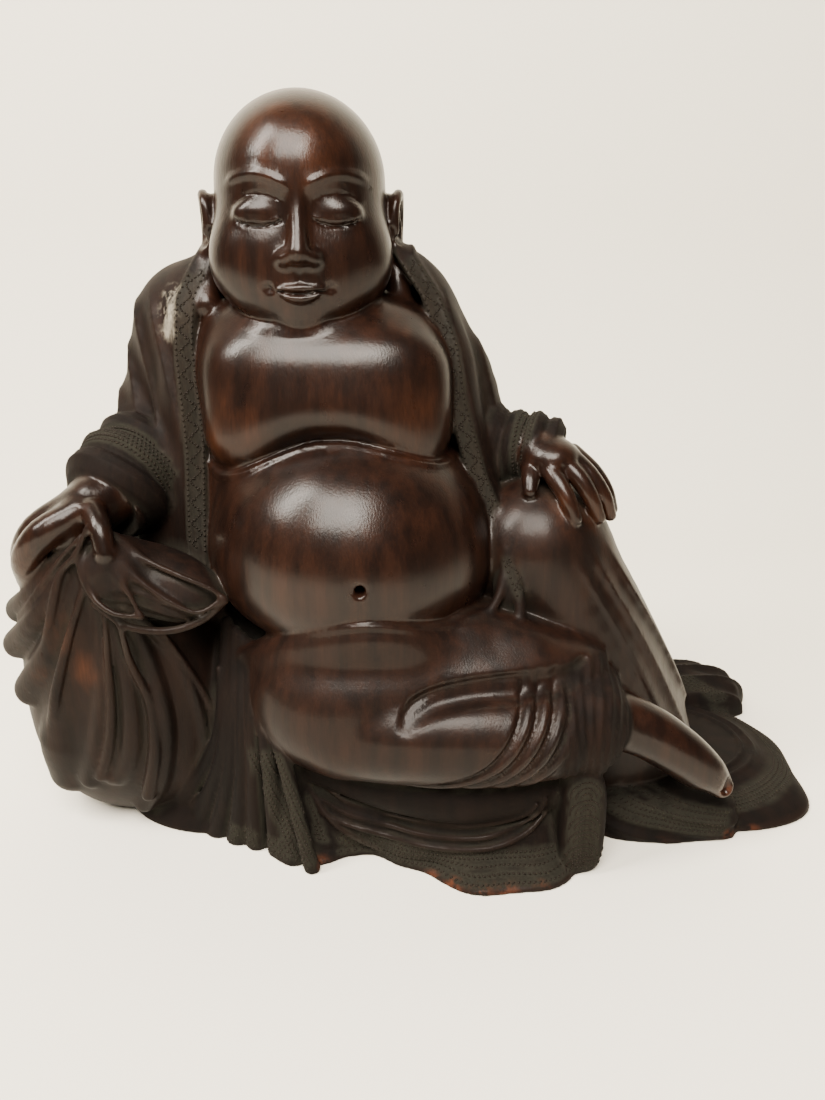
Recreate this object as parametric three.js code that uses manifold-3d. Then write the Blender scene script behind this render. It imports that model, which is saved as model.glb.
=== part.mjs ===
// A big-bellied sage carved from one block of hardwood. He leans on a tied cloth sack, one knee
// raised with a hand on it and the other leg folded in front, in a robe that is open over the belly
// and spreads over the ground. Millimetres, +Z up, the figure faces -Y.
// The figure is a distance field, negative inside the wood, made of rounded forms and carved folds,
// and the head is a second one that is sampled more finely. Their surfaces are joined to one closed
// mesh, cut flat underneath and thinned to a set number of triangles.
import * as THREE from "three";
import { MarchingCubes } from "three/addons/objects/MarchingCubes.js";
import { mergeVertices } from "three/addons/utils/BufferGeometryUtils.js";
import Module from "manifold-3d";

const { sin, cos, abs, sqrt, atan2, min, max, floor, PI } = Math;

// Driving dimensions
const HEAD = [-44, -2, 256]; // middle of the head, 44 below its crown
const HEAD_YAW = 4; // degrees, towards the raised knee
const ROBE_BORDER = 9; // width of the robe's border
const SACK_NECK = [-134, -40, 126];
const SACK_HEART = [-123, -13, 55];
const SKIRT_MIDDLE = [-10, 20]; // the folds of the back fan out from here
const LOBE_MIDDLE = [126, 2]; // of the flat cloth beside the raised leg
const LOBE_SIZE = [61, 55];
const BASE_MIDDLE = [5.3, 4.6]; // middle of the footprint, moved to the origin at the end
const BODY_CUBE = { middle: [4, 0, 150], half: 194, cell: 2.2 }; // where and how finely it is sampled
const HEAD_CUBE = { middle: HEAD, half: 50, cell: 1 };
const SPARE = 9; // wood below the ground, cut off at the end
const TRIANGLES = 9600;
const FACE = [-42, -32, 246]; // the middle of the face, round which small shapes are kept longer
const FACE_REACH = 32;
const FACE_WORTH = 90;
const FRONT = -50; // the folds in front of here are also kept longer
const FRONT_WORTH = 3;
const UNDERSIDE_WORTH = 100; // the flat underside stays flat

// Number helpers
const clamp = (v, low, high) => min(max(v, low), high);
const ease = (from, to, v) => {
  const t = clamp((v - from) / (to - from), 0, 1);
  return t * t * (3 - 2 * t);
};
const fract = (v) => v - floor(v);
const length3 = (x, y, z) => sqrt(x * x + y * y + z * z);
const blendMin = (a, b, k) => {
  const h = max(k - abs(a - b), 0) / k;
  return min(a, b) - h * h * k * 0.25;
};
// Value at a place in a table of [place, value] rows in rising order
function along(table, at) {
  if (at <= table[0][0]) return table[0][1];
  for (let i = 1; i < table.length; i++)
    if (at < table[i][0]) {
      const [a, u] = table[i - 1];
      const [b, v] = table[i];
      return u + ((v - u) * (at - a)) / (b - a);
    }
  return table[table.length - 1][1];
}
// Rings seen from the front: 1 on an ellipse about (x0, z0), growing outwards
const ring = (x, z, x0, z0, wide, high) => sqrt(((x - x0) / wide) ** 2 + ((z - z0) / high) ** 2);
// Profiles of drapery over t, one fold for each whole number
const puff = (t) => abs(sin(PI * t)); // rounded backs between sharp valleys
const crest = (t) => 1 - abs(sin(PI * t)); // crisp ridges between scooped troughs
const bump = (v, centre, half) => ease(half, 0, abs(v - centre)); // a single rounded ridge

// Forms: a box [x0, y0, z0, x1, y1, z1] and a distance d(x, y, z)
const boxGap = (b, x, y, z) =>
  length3(max(b[0] - x, 0, x - b[3]), max(b[1] - y, 0, y - b[4]), max(b[2] - z, 0, z - b[5]));
function boxRound(forms, grow) {
  const b = [1e9, 1e9, 1e9, -1e9, -1e9, -1e9];
  for (const { box } of forms)
    for (let i = 0; i < 3; i++) {
      b[i] = min(b[i], box[i] - grow);
      b[i + 3] = max(b[i + 3], box[i + 3] + grow);
    }
  return b;
}

// An ellipsoid, turned by degrees about X, then Y, then Z; a power over 2 makes it boxy
function ball(centre, radii, turn = [0, 0, 0], power = 2) {
  const [a, b, c] = radii;
  const euler = new THREE.Euler(...turn.map(THREE.MathUtils.degToRad), "ZYX");
  const e = new THREE.Matrix4().makeRotationFromEuler(euler).elements;
  const turned = turn.some((t) => t);
  const reach = turned ? Array(3).fill(length3(a, b, c) * (power > 2 ? 1 : 0.8)) : radii;
  return {
    box: [...centre.map((v, i) => v - reach[i]), ...centre.map((v, i) => v + reach[i])],
    d(px, py, pz) {
      let x = px - centre[0];
      let y = py - centre[1];
      let z = pz - centre[2];
      if (turned)
        [x, y, z] = [
          e[0] * x + e[1] * y + e[2] * z,
          e[4] * x + e[5] * y + e[6] * z,
          e[8] * x + e[9] * y + e[10] * z,
        ];
      x = abs(x / a);
      y = abs(y / b);
      z = abs(z / c);
      const near = (x ** power + y ** power + z ** power) ** (1 / power);
      if (near < 1e-6) return -min(a, b, c);
      const p = power - 1;
      const slope = length3(x ** p / a, y ** p / b, z ** p / c) / near ** p;
      return (near - 1) / slope;
    },
  };
}

// A limb, finger or fold: a smooth curve through [x, y, z, radius] stations
function limb(stations, steps = 4) {
  const points = stations.map(([x, y, z]) => new THREE.Vector3(x, y, z));
  const curve = new THREE.CatmullRomCurve3(points, false, "catmullrom");
  const spans = stations.length - 1;
  const count = spans * steps;
  const p = [];
  for (let i = 0; i <= count; i++) {
    const v = curve.getPoint(i / count);
    const s = min(floor(i / steps), spans - 1);
    p.push([v.x, v.y, v.z, THREE.MathUtils.lerp(stations[s][3], stations[s + 1][3], i / steps - s)]);
  }
  return {
    box: boxRound(p.map(([x, y, z, r]) => ({ box: [x - r, y - r, z - r, x + r, y + r, z + r] })), 0),
    d(x, y, z) {
      let best = 1e9;
      for (let i = 0; i < count; i++) {
        const a = p[i];
        const b = p[i + 1];
        const ux = b[0] - a[0];
        const uy = b[1] - a[1];
        const uz = b[2] - a[2];
        const vx = x - a[0];
        const vy = y - a[1];
        const vz = z - a[2];
        const t = clamp((ux * vx + uy * vy + uz * vz) / (ux * ux + uy * uy + uz * uz), 0, 1);
        best = min(best, length3(vx - t * ux, vy - t * uy, vz - t * uz) - a[3] - t * (b[3] - a[3]));
      }
      return best;
    },
  };
}

// Forms run together with a fillet of size k
function merge(k, ...forms) {
  const box = boxRound(forms, k * 0.25);
  const reach = k + 5;
  return {
    box,
    d(x, y, z) {
      let best = max(boxGap(box, x, y, z), reach);
      for (const form of forms)
        if (boxGap(form.box, x, y, z) < reach) best = blendMin(best, form.d(x, y, z), k);
      return best;
    },
  };
}

// base with the tools cut out of it, the rims rounded by k
const carve = (k, base, ...tools) => ({
  box: base.box,
  d(x, y, z) {
    let best = base.d(x, y, z);
    for (const tool of tools)
      if (boxGap(tool.box, x, y, z) < k + 3) best = -blendMin(-best, tool.d(x, y, z), k);
    return best;
  },
});

// A form whose surface is lifted by lift(x, y, z), at most most
const relief = (form, most, lift) => ({
  box: boxRound([form], most),
  d(x, y, z) {
    const d = form.d(x, y, z);
    return abs(d) > most + 6 ? d : d - lift(x, y, z);
  },
});

// A form whose matter is moved up by rise(x, y, z), at most most
const warp = (form, most, rise) => ({
  box: boxRound([form], most),
  d: (x, y, z) => form.d(x, y, z - rise(x, y, z)),
});

// A form drawn about an origin of its own, turned by yaw degrees about Z
function placed(at, yaw, form) {
  const c = cos((yaw * PI) / 180);
  const s = sin((yaw * PI) / 180);
  const r = length3(...[0, 1, 2].map((i) => max(abs(form.box[i]), abs(form.box[i + 3]))));
  return {
    box: [...at.map((v) => v - r), ...at.map((v) => v + r)],
    d: (x, y, z) => {
      const u = x - at[0];
      const v = y - at[1];
      return form.d(c * u + s * v, c * v - s * u, z - at[2]);
    },
  };
}

const bothSides = (make) => [make(-1), make(1)];

// The head about its own middle: a calm, full face of plain proportions with closed eyes, long-lobed
// ears and no hair
function head() {
  const skull = merge(
    12,
    ball([0, 4, 10], [33.5, 37, 34]),
    ball([0, -2, -14], [32, 32, 28.5]),
    ...bothSides((s) => ball([s * 18, -14, -19], [16, 16.5, 17])),
    ball([0, -21, -29.5], [20, 14, 14]),
  );
  const sockets = bothSides((s) => ball([s * 14.5, -38.4, 1], [11.5, 6, 6]));
  const face = merge(
    3,
    carve(8, skull, ...sockets),
    ...bothSides((s) => ball([s * 14, -26.8, -0.6], [9.6, 5.6, 5.8])),
    limb([[0, -30, 7, 2.8], [0, -34, -5, 3.4], [0, -37.2, -13.6, 4.4]]),
    ...bothSides((s) => ball([s * 5.2, -34.6, -15.6], [3.8, 4.4, 3.4])),
    ball([0, -29.4, -36.5], [9, 6, 5.8]),
  );
  const features = (x, y, z) => {
    const side = abs(x);
    const eye = sqrt(clamp(1 - ((side - 14) / 9.6) ** 2, 0, 1));
    const slit = -0.9 * bump(z, -1.2 - 3.6 * eye, 2.4) * ease(4.6, 6.6, side) * ease(24, 21, side);
    const browLine = 8.4 + 4.6 * sin(PI * clamp((side - 3) / 27, 0, 1));
    const brow = 0.7 * bump(z, browLine, 5) * ease(2, 6, side) * ease(29, 23, side);
    const seam = -28.2 + 0.012 * side * side;
    const upper = clamp((z - seam) / (4.2 * clamp(1 - (side / 11) ** 2, 0.02, 1)), 0, 1);
    const lower = clamp((seam - z) / (4.8 * clamp(1 - (side / 10) ** 2, 0.02, 1)), 0, 1);
    const lips = 1.9 * (sin(PI * upper) + 1.2 * sin(PI * lower)) * ease(11.5, 7, side);
    return ease(-14, -22, y) * (slit + brow + lips);
  };
  const ears = bothSides((s) =>
    carve(
      2,
      merge(
        5,
        ball([s * 35.5, 7, -7], [5, 10, 14], [0, 0, s * 20]),
        limb([[s * 37, 4, -17, 4.8], [s * 38.4, 0, -27, 5], [s * 39, -5, -35.4, 6.2]]),
      ),
      ball([s * 42, 2, -5], [4, 5, 9]),
    ),
  );
  return merge(2.5, relief(face, 4, features), ...ears);
}

// Rolls of flesh below the chin, set back under it
const neck = merge(
  2,
  ball([-44, -7, 213], [32, 29, 10]),
  ball([-43, -6, 204], [36, 32, 8]),
  ball([-42, 8, 200], [38, 34, 26]),
);

// A broad, smooth shield with a hanging lower edge that arches over the belly
const chest = warp(
  merge(
    14,
    ball([-34, -13, 183], [50.5, 31.5, 31], [-10, 0, 0], 3.4),
    ball([-39, 0, 203], [50, 27, 24], [0, 0, 0], 2.8),
  ),
  18,
  (x, y, z) => (17 * ease(46, 2, abs(x + 33)) - 3) * ease(0, -40, y) * ease(214, 170, z),
);

function belly() {
  const round = merge(
    16,
    ball([-26, -12, 132], [59.5, 63, 46]),
    ball([-24, -20, 117], [57, 56, 34]),
    ball([-64, -6, 158], [24, 28, 22]),
  );
  return carve(2, round, limb([[-19.5, -84, 125, 2], [-19.5, -66, 125, 1.9]]));
}

// The robe's open edges as seen from the front, by height
const EDGE_LEFT = [[88, -76], [120, -84], [166, -83], [205, -86], [224, -85], [240, -78]];
const EDGE_RIGHT = [[88, 50], [113, 40], [132, 32], [154, 22], [185, 13], [205, 10], [224, 3], [240, -8]];
const openGap = (x, z) => max(along(EDGE_LEFT, z) - x, x - along(EDGE_RIGHT, z));

function robe() {
  const back = merge(
    18,
    limb([[-90, 14, 209, 26], [-45, 22, 214, 25], [-8, 14, 213, 25]]),
    ball([-44, 24, 165], [60, 39, 74]),
    ball([-26, 18, 112], [70, 58, 60]),
    ball([-12, 26, 50], [90, 62, 62]),
    ball([-92, -6, 112], [26, 24, 60]),
    ball([-106, 4, 126], [20, 18, 30]),
    ball([-14, 22, 0], [102, 80, 38], [0, 0, 0], 2.3),
  );
  const fronts = merge(
    8,
    limb([
      [-82, 4, 232, 9], [-93, -8, 205, 9.5], [-93, -16, 170, 10], [-91, -20, 138, 10], [-88, -24, 104, 10],
    ]),
    limb([
      [-4, 4, 232, 9], [15, -8, 204, 8], [20, -14, 178, 8], [27, -20, 150, 8], [44, -32, 112, 8],
      [50, -38, 92, 7],
    ]),
  );
  const arms = [
    limb([[-90, 14, 209, 26], [-103, 12, 182, 22], [-108, 4, 164, 21], [-115, -12, 154, 19]]),
    limb([[-8, 14, 213, 25], [13, 12, 186, 22], [24, 6, 164, 18], [38, -2, 160, 15]]),
  ];
  const drapery = (x, y, z) => {
    const turn = atan2(y - SKIRT_MIDDLE[1], x - SKIRT_MIDDLE[0]);
    const falling = crest((turn * 19) / (2 * PI) + 0.4 * sin(z / 34)) * ease(180, 70, z);
    const slung = crest((z + 0.009 * (x + 45) ** 2) / 24) * ease(120, 150, z) * ease(226, 200, z);
    return ease(6, 26, y) * (3 * falling + 2 * slung * ease(20, 40, y));
  };
  const lengthwise = (x, y, z) =>
    1.6 * crest((x + 0.25 * z) / 13) * ease(160, 180, z) * ease(232, 215, z) * ease(20, 0, y);
  const border = (x, y, z) => {
    const gap = openGap(x, z);
    return 1.5 * ease(-1, 1, gap) * ease(ROBE_BORDER + 1, ROBE_BORDER, gap) * ease(14, 4, y);
  };
  const lift = (x, y, z) => drapery(x, y, z) + max(lengthwise(x, y, z), border(x, y, z));
  const opening = {
    box: [-100, -100, 70, 60, 14, 300],
    d: (x, y, z) => max(openGap(x, z), (y - 8) * 0.8),
  };
  const collar = ball([-44, 0, 240], [34, 32, 44]);
  return carve(1.5, relief(merge(9, back, fronts, ...arms), 5, lift), opening, collar);
}

// Sleeves pushed up into rings, each open round the wrist
function sleeves() {
  const rings = (origin, axis, spacing) => (x, y, z) => {
    const s = (x - origin[0]) * axis[0] + (y - origin[1]) * axis[1] + (z - origin[2]) * axis[2];
    return 2.6 * (puff(s / spacing + 0.35 * sin((x - z) / 20)) - 0.5);
  };
  const right = relief(
    limb([[-104, 6, 166, 20], [-113, -8, 157, 22], [-120, -22, 150, 22]]),
    3,
    rings([-112, 0, 160], [-0.4, -0.82, -0.4], 12),
  );
  const left = relief(
    limb([[24, 4, 163, 17], [40, -4, 161, 15.5], [53, -9, 161, 15]]),
    3,
    rings([30, 0, 160], [0.95, -0.3, 0], 10),
  );
  return merge(
    4,
    carve(2, right, ball([-127, -44, 141], [17, 15, 17])),
    carve(2, left, ball([67, -13, 160], [11, 11, 10])),
  );
}

// The hand that grips the sack's neck, knuckles up and thumb in front
const handOnSack = merge(
  2.5,
  limb([[-117, -26, 150, 12], [-127, -38, 146, 12], [-135, -44, 139, 10.5]]),
  limb([[-130, -48, 146, 6], [-143, -53, 139, 6.4], [-152, -51, 128, 6], [-155, -45, 117, 5]]),
  limb([[-135, -40, 147, 6], [-149, -44, 138, 6], [-157, -41, 126, 5.6], [-158, -34, 116, 4.8]]),
  limb([[-136, -30, 146, 6], [-151, -32, 136, 5.8], [-159, -30, 124, 5.4], [-160, -24, 116, 4.6]]),
  limb([[-124, -50, 147, 5.2], [-120, -58, 140, 5.2], [-119, -61, 131, 4.4]]),
);

// A slender hand that rests on the knee, its fingers draped over the front and the outside
const handOnKnee = merge(
  1.6,
  merge(
    6,
    limb([[42, -8, 163, 9], [53, -17, 162, 8.5], [60, -22, 160, 6.6]]),
    ball([57, -20, 161], [11, 12, 7]),
  ),
  limb([[49, -21, 159, 4.2], [48, -29, 154, 3.8], [47.5, -33, 150, 3]]),
  limb([[53, -24, 161, 4.4], [58, -33, 154.5, 4], [62, -38, 148, 3.5], [65.5, -40, 140.5, 2.6]]),
  limb([[60, -25, 161, 4.3], [67, -31, 155, 4], [72, -34, 147.5, 3.5], [76, -34, 139, 2.7]]),
  limb([[65, -21, 161, 4.2], [72, -26, 155, 4], [78, -29, 147, 3.4], [81.5, -29, 138.5, 2.6]]),
  limb([[67, -14, 161, 4], [75, -19, 154.5, 3.7], [80.5, -22, 147, 3.2], [84, -21, 138.5, 2.4]]),
);

function raisedLeg() {
  const cloth = merge(
    12,
    limb([[4, 36, 84, 40], [32, 8, 104, 34], [53, -17, 121, 28]]),
    limb([
      [53, -18, 121, 28.5], [67, -19, 96, 30.5], [80, -17, 65, 33], [92, -12, 36, 35], [100, -8, -4, 37],
    ]),
  );
  return relief(cloth, 3, (x, y, z) => {
    const out = (x - 53) * 0.87 + (z - 121) * 0.49; // across the shin, from its middle outwards
    const lines = crest(out / 9.5 + 0.15 * sin(z / 17));
    return 2.2 * ease(8, 18, out) * (lines - 0.3) * ease(134, 108, z);
  });
}

// The folded leg: a smooth lap and knee, the calf below the crease, ring folds and the trouser cuff
function trousers() {
  const lap = merge(
    18,
    ball([6, -36, 76], [64, 47, 31]),
    ball([-30, -50, 68], [38, 37, 33], [0, 18, 0]),
    ball([44, -52, 80], [36, 22, 14], [0, -6, 0]),
  );
  const calf = limb([
    [-26, -66, 62, 22], [4, -73, 63, 21], [34, -74, 63, 20.5], [56, -69, 62, 20], [70, -62, 61, 19],
  ]);
  const cuff = ball([71, -58, 62], [15.5, 25, 22], [0, 0, -8], 2.6);
  const drawn = relief(merge(2, lap, calf, cuff), 4, (x, y, z) => {
    const out = ring(x, z, -13, 92, 56, 48);
    const shown = ease(0.93, 1, out) * ease(1.6, 1.45, out) * ease(-40, 4, x);
    return 3 * shown * ease(-30, -55, y) * ease(92, 84, z) * (crest((out - 1) / 0.15) - 0.5);
  });
  const crease = limb([
    [-3, -91, 73, 2.8], [-1, -90, 79, 4.2], [10, -86, 85, 5], [28, -82, 88, 5.4], [46, -78, 90, 5.4],
    [68, -68, 90, 5.4], [86, -56, 86, 5],
  ]);
  const waist = limb([
    [-72, -50, 86, 1.8], [-58, -59, 91, 2.2], [-44, -69, 99, 2.4], [-28, -77, 105.5, 2.4],
    [-12, -77, 109, 2.4], [2, -71, 105, 2.4], [13, -65, 100.5, 2.4], [23, -59, 103, 2.4],
    [32, -58, 101, 2.4], [45, -61, 97, 1.8],
  ]);
  return merge(1.6, carve(2, drawn, crease), waist);
}

const foot = merge(
  7,
  limb([
    [76, -55, 61, 13.5], [96, -58, 54.5, 11.5], [112, -60, 45, 10], [123, -61, 36.5, 8], [130, -61, 29, 5.2],
  ]),
  limb([[84, -47, 54, 9], [104, -51, 44, 9], [118, -55, 34.5, 7.5]]),
);

// The sack hangs from its tied neck in uneven folds that swing out and end one above another
function sack() {
  const bag = merge(
    20,
    ball(SACK_HEART, [49, 48, 60], [0, 0, 0], 2.3),
    ball([-130, -30, 92], [30, 28, 26]),
    limb([[...SACK_NECK, 13], [-132, -34, 108, 17]]),
  );
  const ridges = [
    limb([[-131, -50, 136, 2.5], [-142, -52, 124, 4], [-153, -48, 111, 5], [-165, -35, 99, 6]]),
    limb([[-130, -53, 134, 2.5], [-139, -56, 118, 4], [-151, -53, 102, 5.2], [-166, -39, 85, 6.6]]),
    limb([[-129, -56, 131, 2.5], [-136, -57, 111, 4.2], [-147, -54, 88, 6], [-161, -43, 66, 8]]),
    limb([
      [-127, -57, 129, 3], [-131, -57, 104, 5], [-139, -52, 74, 9], [-147, -47, 46, 12.5],
      [-149, -42, 26, 11],
    ]),
    limb([
      [-126, -58, 127, 2], [-124, -59, 103, 2.6], [-125, -60, 76, 3.4], [-131, -58, 50, 4.4],
      [-138, -53, 28, 5],
    ]),
    limb([
      [-122, -60, 124, 2.4], [-118, -59, 100, 3], [-115, -60, 73, 3.8], [-117, -59, 48, 4.8],
      [-125, -56, 31, 4.4], [-133, -56, 36, 3],
    ]),
    limb([
      [-118, -62, 120, 2.4], [-108, -56, 90, 3.4], [-103, -57, 58, 4.4], [-108, -54, 30, 5],
      [-118, -48, 12, 5],
    ]),
    limb([
      [-112, -62, 112, 2], [-100, -52, 90, 2.2], [-91, -51, 66, 2.4], [-89, -49, 44, 2.4],
      [-94, -45, 22, 2],
    ]),
  ];
  const rear = relief(bag, 6, (x, y, z) => {
    const turn = atan2(y - SACK_NECK[1] - 14, x - SACK_NECK[0] - 8);
    const down = SACK_NECK[2] - z;
    const swing = (turn * 13) / (2 * PI) + down / 80 + 0.25 * sin(down / 19);
    const pick = fract(floor(swing) * 0.618);
    const depth = (3.4 + 3 * pick) * ease(160, 60 + 60 * pick, down);
    return depth * (puff(swing) - 0.55) * ease(2, 26, down) * ease(-40, -20, y);
  });
  return merge(1.6, rear, ...ridges);
}

// The loose mouth of the sack: two leaves that the hand gathers and that flare to points
const sackMouth = merge(
  1.4,
  merge(6, ball([-104, -47, 117], [30, 17, 14], [0, 14, -12]), ball([-117, -53, 124], [14, 14, 14])),
  limb([
    [-127, -56, 138, 2.4], [-127, -62, 127, 2.2], [-122, -67, 118, 2.2], [-114, -70, 112.6, 2],
    [-104, -69, 110.6, 1.4],
  ]),
  limb([[-122, -57, 138, 2.2], [-115, -63, 129, 2], [-109, -67, 121, 2], [-104, -69, 111, 1.4]]),
  limb([
    [-118, -58, 136, 2], [-106, -64, 125, 2], [-94, -66, 116, 2], [-83, -66, 111, 2], [-74, -62, 115, 1.4],
  ]),
  limb([
    [-116, -52, 138, 2.2], [-104, -59, 131, 2.2], [-90, -62, 125, 2], [-79, -62, 120, 2],
    [-73, -61, 115, 1.4],
  ]),
  limb([
    [-123, -64, 113, 2.2], [-110, -67, 104.6, 2.4], [-95, -65, 101.6, 2.4], [-82, -63, 105.6, 2.2],
    [-73, -61, 114, 1.6],
  ]),
);

// Fluted cloth falling between the sack and the folded knee, and the flat panel beside it
const cascade = merge(
  1.6,
  merge(
    4,
    ball([-70, -24, 36], [28, 32, 62]),
    ball([-88, -16, 0], [46, 40, 20]),
    limb([[-104, -30, 0, 9], [-84, -43, 0, 10], [-64, -52, 0, 11], [-46, -62, 0, 12]]),
    ball([-49, -60, 22], [9, 14, 42], [-6, -12, -38], 3),
  ),
  limb([
    [-77, -42, 96, 2.6], [-78, -53, 70, 3], [-82, -54, 46, 3.6], [-98, -46, 16, 4.6], [-110, -38, -2, 6],
  ]),
  limb([
    [-76, -44, 94, 2.4], [-76, -56, 66, 3], [-79, -58, 42, 3.6], [-89, -52, 14, 4.6], [-97, -46, -2, 6],
  ]),
  limb([
    [-73, -46, 94, 2.4], [-73, -58, 66, 3], [-75, -61, 40, 3.4], [-81, -57, 14, 4.4], [-86, -53, -2, 5.6],
  ]),
  limb([
    [-70, -48, 92, 2.4], [-69, -61, 64, 3], [-70, -64, 38, 3.4], [-73, -62, 14, 4.4], [-76, -58, -2, 5.6],
  ]),
  limb([
    [-67, -50, 90, 2.4], [-65, -64, 64, 2.8], [-65, -67, 38, 3.2], [-66, -65, 14, 4.2], [-67, -62, -2, 5],
  ]),
  limb([
    [-64, -52, 88, 2.4], [-60, -67, 64, 2.8], [-58, -71, 40, 3.2], [-57, -70, 14, 4], [-57, -67, -2, 4.6],
  ]),
  limb([
    [-62, -54, 84, 2.4], [-54, -71, 60, 3], [-49, -76, 38, 3], [-44, -79, 14, 3], [-41, -79, -2, 3.4],
  ]),
);

// The cloth on the ground: under the calf a smooth swag, thin folds that hang below it and a flared
// hem; a strip beside them, a pillowed fold under the foot, a flat lobe at the side and folded ends
function skirt() {
  const wall = merge(
    8,
    ball([28, -34, 3], [53, 48.5, 31], [0, 0, 0], 2.6),
    ball([-30, -34, 0], [42, 38, 32]),
    limb([[-64, -46, 60, 8], [-54, -51, 36, 9], [-40, -58, 22, 10], [-16, -62, 18, 10]], 6),
  );
  const swag = limb([
    [-40, -62, 38, 6], [-8, -70, 34, 9.5], [22, -74, 33, 11], [52, -68, 34, 10], [64, -62, 34, 9],
  ]);
  const flare = merge(5, ball([36, -60, -3], [42, 36, 15]), ball([-38, -60, -2], [13, 17, 9]));
  const hanging = [
    limb([
      [-64, -55, 62, 2.4], [-52, -60, 38, 2.6], [-34, -66, 26, 3], [-14, -72, 22.5, 3.2], [4, -79, 20, 3.2],
      [21, -80, 18, 3.2], [36, -79, 23, 3.2], [49, -76, 29, 3], [52, -73, 36, 2.6],
    ]),
    limb([
      [-66, -54, 55, 2.4], [-55, -59, 30, 2.6], [-38, -66, 18, 3], [-14, -72, 14.5, 3.2], [4, -79, 11, 3.2],
      [21, -80, 9.4, 3.2], [39, -80, 14, 3.2], [56, -76, 25, 3], [61, -72, 36, 2.6],
    ]),
  ];
  const strip = ball([68, -72, 22], [10, 12, 26], [0, 0, 14], 3.2);
  const pillow = merge(
    5,
    ball([110, -34, 0], [34, 28, 19], [0, 0, 5], 3),
    ball([124, -44, 0], [18, 17, 18], [0, 0, 3], 4),
  );
  const creases = (x, y, z) =>
    1.6 * (crest((z + 0.22 * (x - 84)) / 8) - 0.5) * ease(20, 15, z) * ease(-40, -54, y);
  const lobeLines = (x, y) => {
    const out = ring(x, y, ...LOBE_MIDDLE, ...LOBE_SIZE);
    return 1.6 * (bump(out, 0.5, 0.06) + bump(out, 0.67, 0.06)) - 0.8 * ease(0.72, 0.78, out);
  };
  const layers = (x, y) => 3 * (crest((y - 0.25 * x) / 13) - 0.5);
  const apron = merge(2.5, merge(3, wall, swag, flare), ...hanging, strip);
  const flat = merge(
    6,
    ball([...LOBE_MIDDLE, -4], [...LOBE_SIZE, 17], [0, 0, 0], 2.4),
    ball([148, -22, -4], [36.6, 33, 14], [0, 0, 0], 2.6),
  );
  const lobe = relief(flat, 3, lobeLines);
  const ends = merge(
    2,
    relief(ball([128, 52, 0], [54, 25, 20], [0, 0, 14], 3), 3, layers),
    limb([[118, 68, 14, 6], [150, 59, 12.5, 6], [171, 53, 10, 5.6]]),
  );
  return merge(2.4, apron, relief(pillow, 2, creases), lobe, ends);
}

// The robe's lower corner, folded over beside the belly
const foldedCorner = merge(
  1.4,
  limb([[38, -42, 128, 2], [41, -46, 118, 2.4], [43, -50, 109, 2.6], [43, -54, 101, 2.2]]),
  limb([[38, -42, 126, 1.8], [36, -48, 114, 2.2], [31, -53, 106, 2.2], [24, -56, 104, 1.8]]),
  ball([39, -44, 110], [6, 6, 11], [0, -10, 0]),
);

const headForm = placed(HEAD, HEAD_YAW, head());
const body = merge(
  2,
  neck,
  merge(1.5, chest, belly()),
  robe(),
  sleeves(),
  raisedLeg(),
  trousers(),
  foot,
  handOnKnee,
  sack(),
  sackMouth,
  handOnSack,
  cascade,
  skirt(),
  foldedCorner,
);

// Samples a field on a cube and returns its surface with welded points
function surfaceOf(field, { middle, half, cell }) {
  const size = Math.ceil((2 * half) / cell);
  const cubes = new MarchingCubes(size, new THREE.MeshStandardMaterial(), false, false, 200000);
  cubes.isolation = 0;
  const place = (index, axis) => middle[axis] + (index / (size / 2) - 1) * half;
  const least = cell / 20; // no corner lies so near the surface that its triangles collapse
  let i = 0;
  for (let k = 0; k < size; k++)
    for (let j = 0; j < size; j++)
      for (let n = 0; n < size; n++) {
        const depth = -max(field.d(place(n, 0), place(j, 1), place(k, 2)), -SPARE - place(k, 2));
        cubes.field[i++] = depth < 0 ? min(depth, -least) : max(depth, least);
      }
  cubes.update();
  const count = cubes.geometry.drawRange.count;
  const positions = cubes.positionArray.slice(0, count * 3).map((v, n) => v * half + middle[n % 3]);
  const soup = new THREE.BufferGeometry().setAttribute("position", new THREE.BufferAttribute(positions, 3));
  return settle(mergeVertices(soup, 1e-4), field, cell);
}

// Joins the surfaces and cuts away what lies below the ground, which leaves a flat underside
async function joined(...surfaces) {
  const wasm = await Module();
  wasm.setup();
  const solid = (source) => {
    const bare = new THREE.BufferGeometry().setAttribute("position", source.attributes.position);
    const welded = mergeVertices(bare.setIndex(source.index), 1e-4);
    const vertProperties = Float32Array.from(welded.attributes.position.array);
    const triVerts = Uint32Array.from(welded.index.array);
    return new wasm.Manifold(new wasm.Mesh({ numProp: 3, vertProperties, triVerts }));
  };
  const below = new THREE.BoxGeometry(800, 800, 100).translate(0, 0, -50);
  const whole = surfaces.map(solid).reduce((all, next) => all.add(next));
  const mesh = whole.subtract(solid(below)).getMesh();
  const cut = new THREE.BufferGeometry();
  cut.setAttribute("position", new THREE.BufferAttribute(Float32Array.from(mesh.vertProperties), 3));
  return cut.setIndex(Array.from(mesh.triVerts));
}

// Keeps the largest surface, so that closed pockets left between forms become solid wood
function outerSkin(geometry) {
  const index = geometry.index.array;
  const parent = Uint32Array.from({ length: geometry.attributes.position.count }, (_, i) => i);
  const find = (v) => {
    while (parent[v] !== v) v = parent[v] = parent[parent[v]];
    return v;
  };
  for (let t = 0; t < index.length; t += 3) {
    parent[find(index[t])] = find(index[t + 1]);
    parent[find(index[t + 1])] = find(index[t + 2]);
  }
  const share = new Map();
  for (const v of index) share.set(find(v), (share.get(find(v)) ?? 0) + 1);
  const [outer] = [...share].reduce((most, next) => (next[1] > most[1] ? next : most));
  const kept = [];
  for (let t = 0; t < index.length; t += 3)
    if (find(index[t]) === outer) kept.push(index[t], index[t + 1], index[t + 2]);
  return geometry.setIndex(kept);
}

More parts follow.
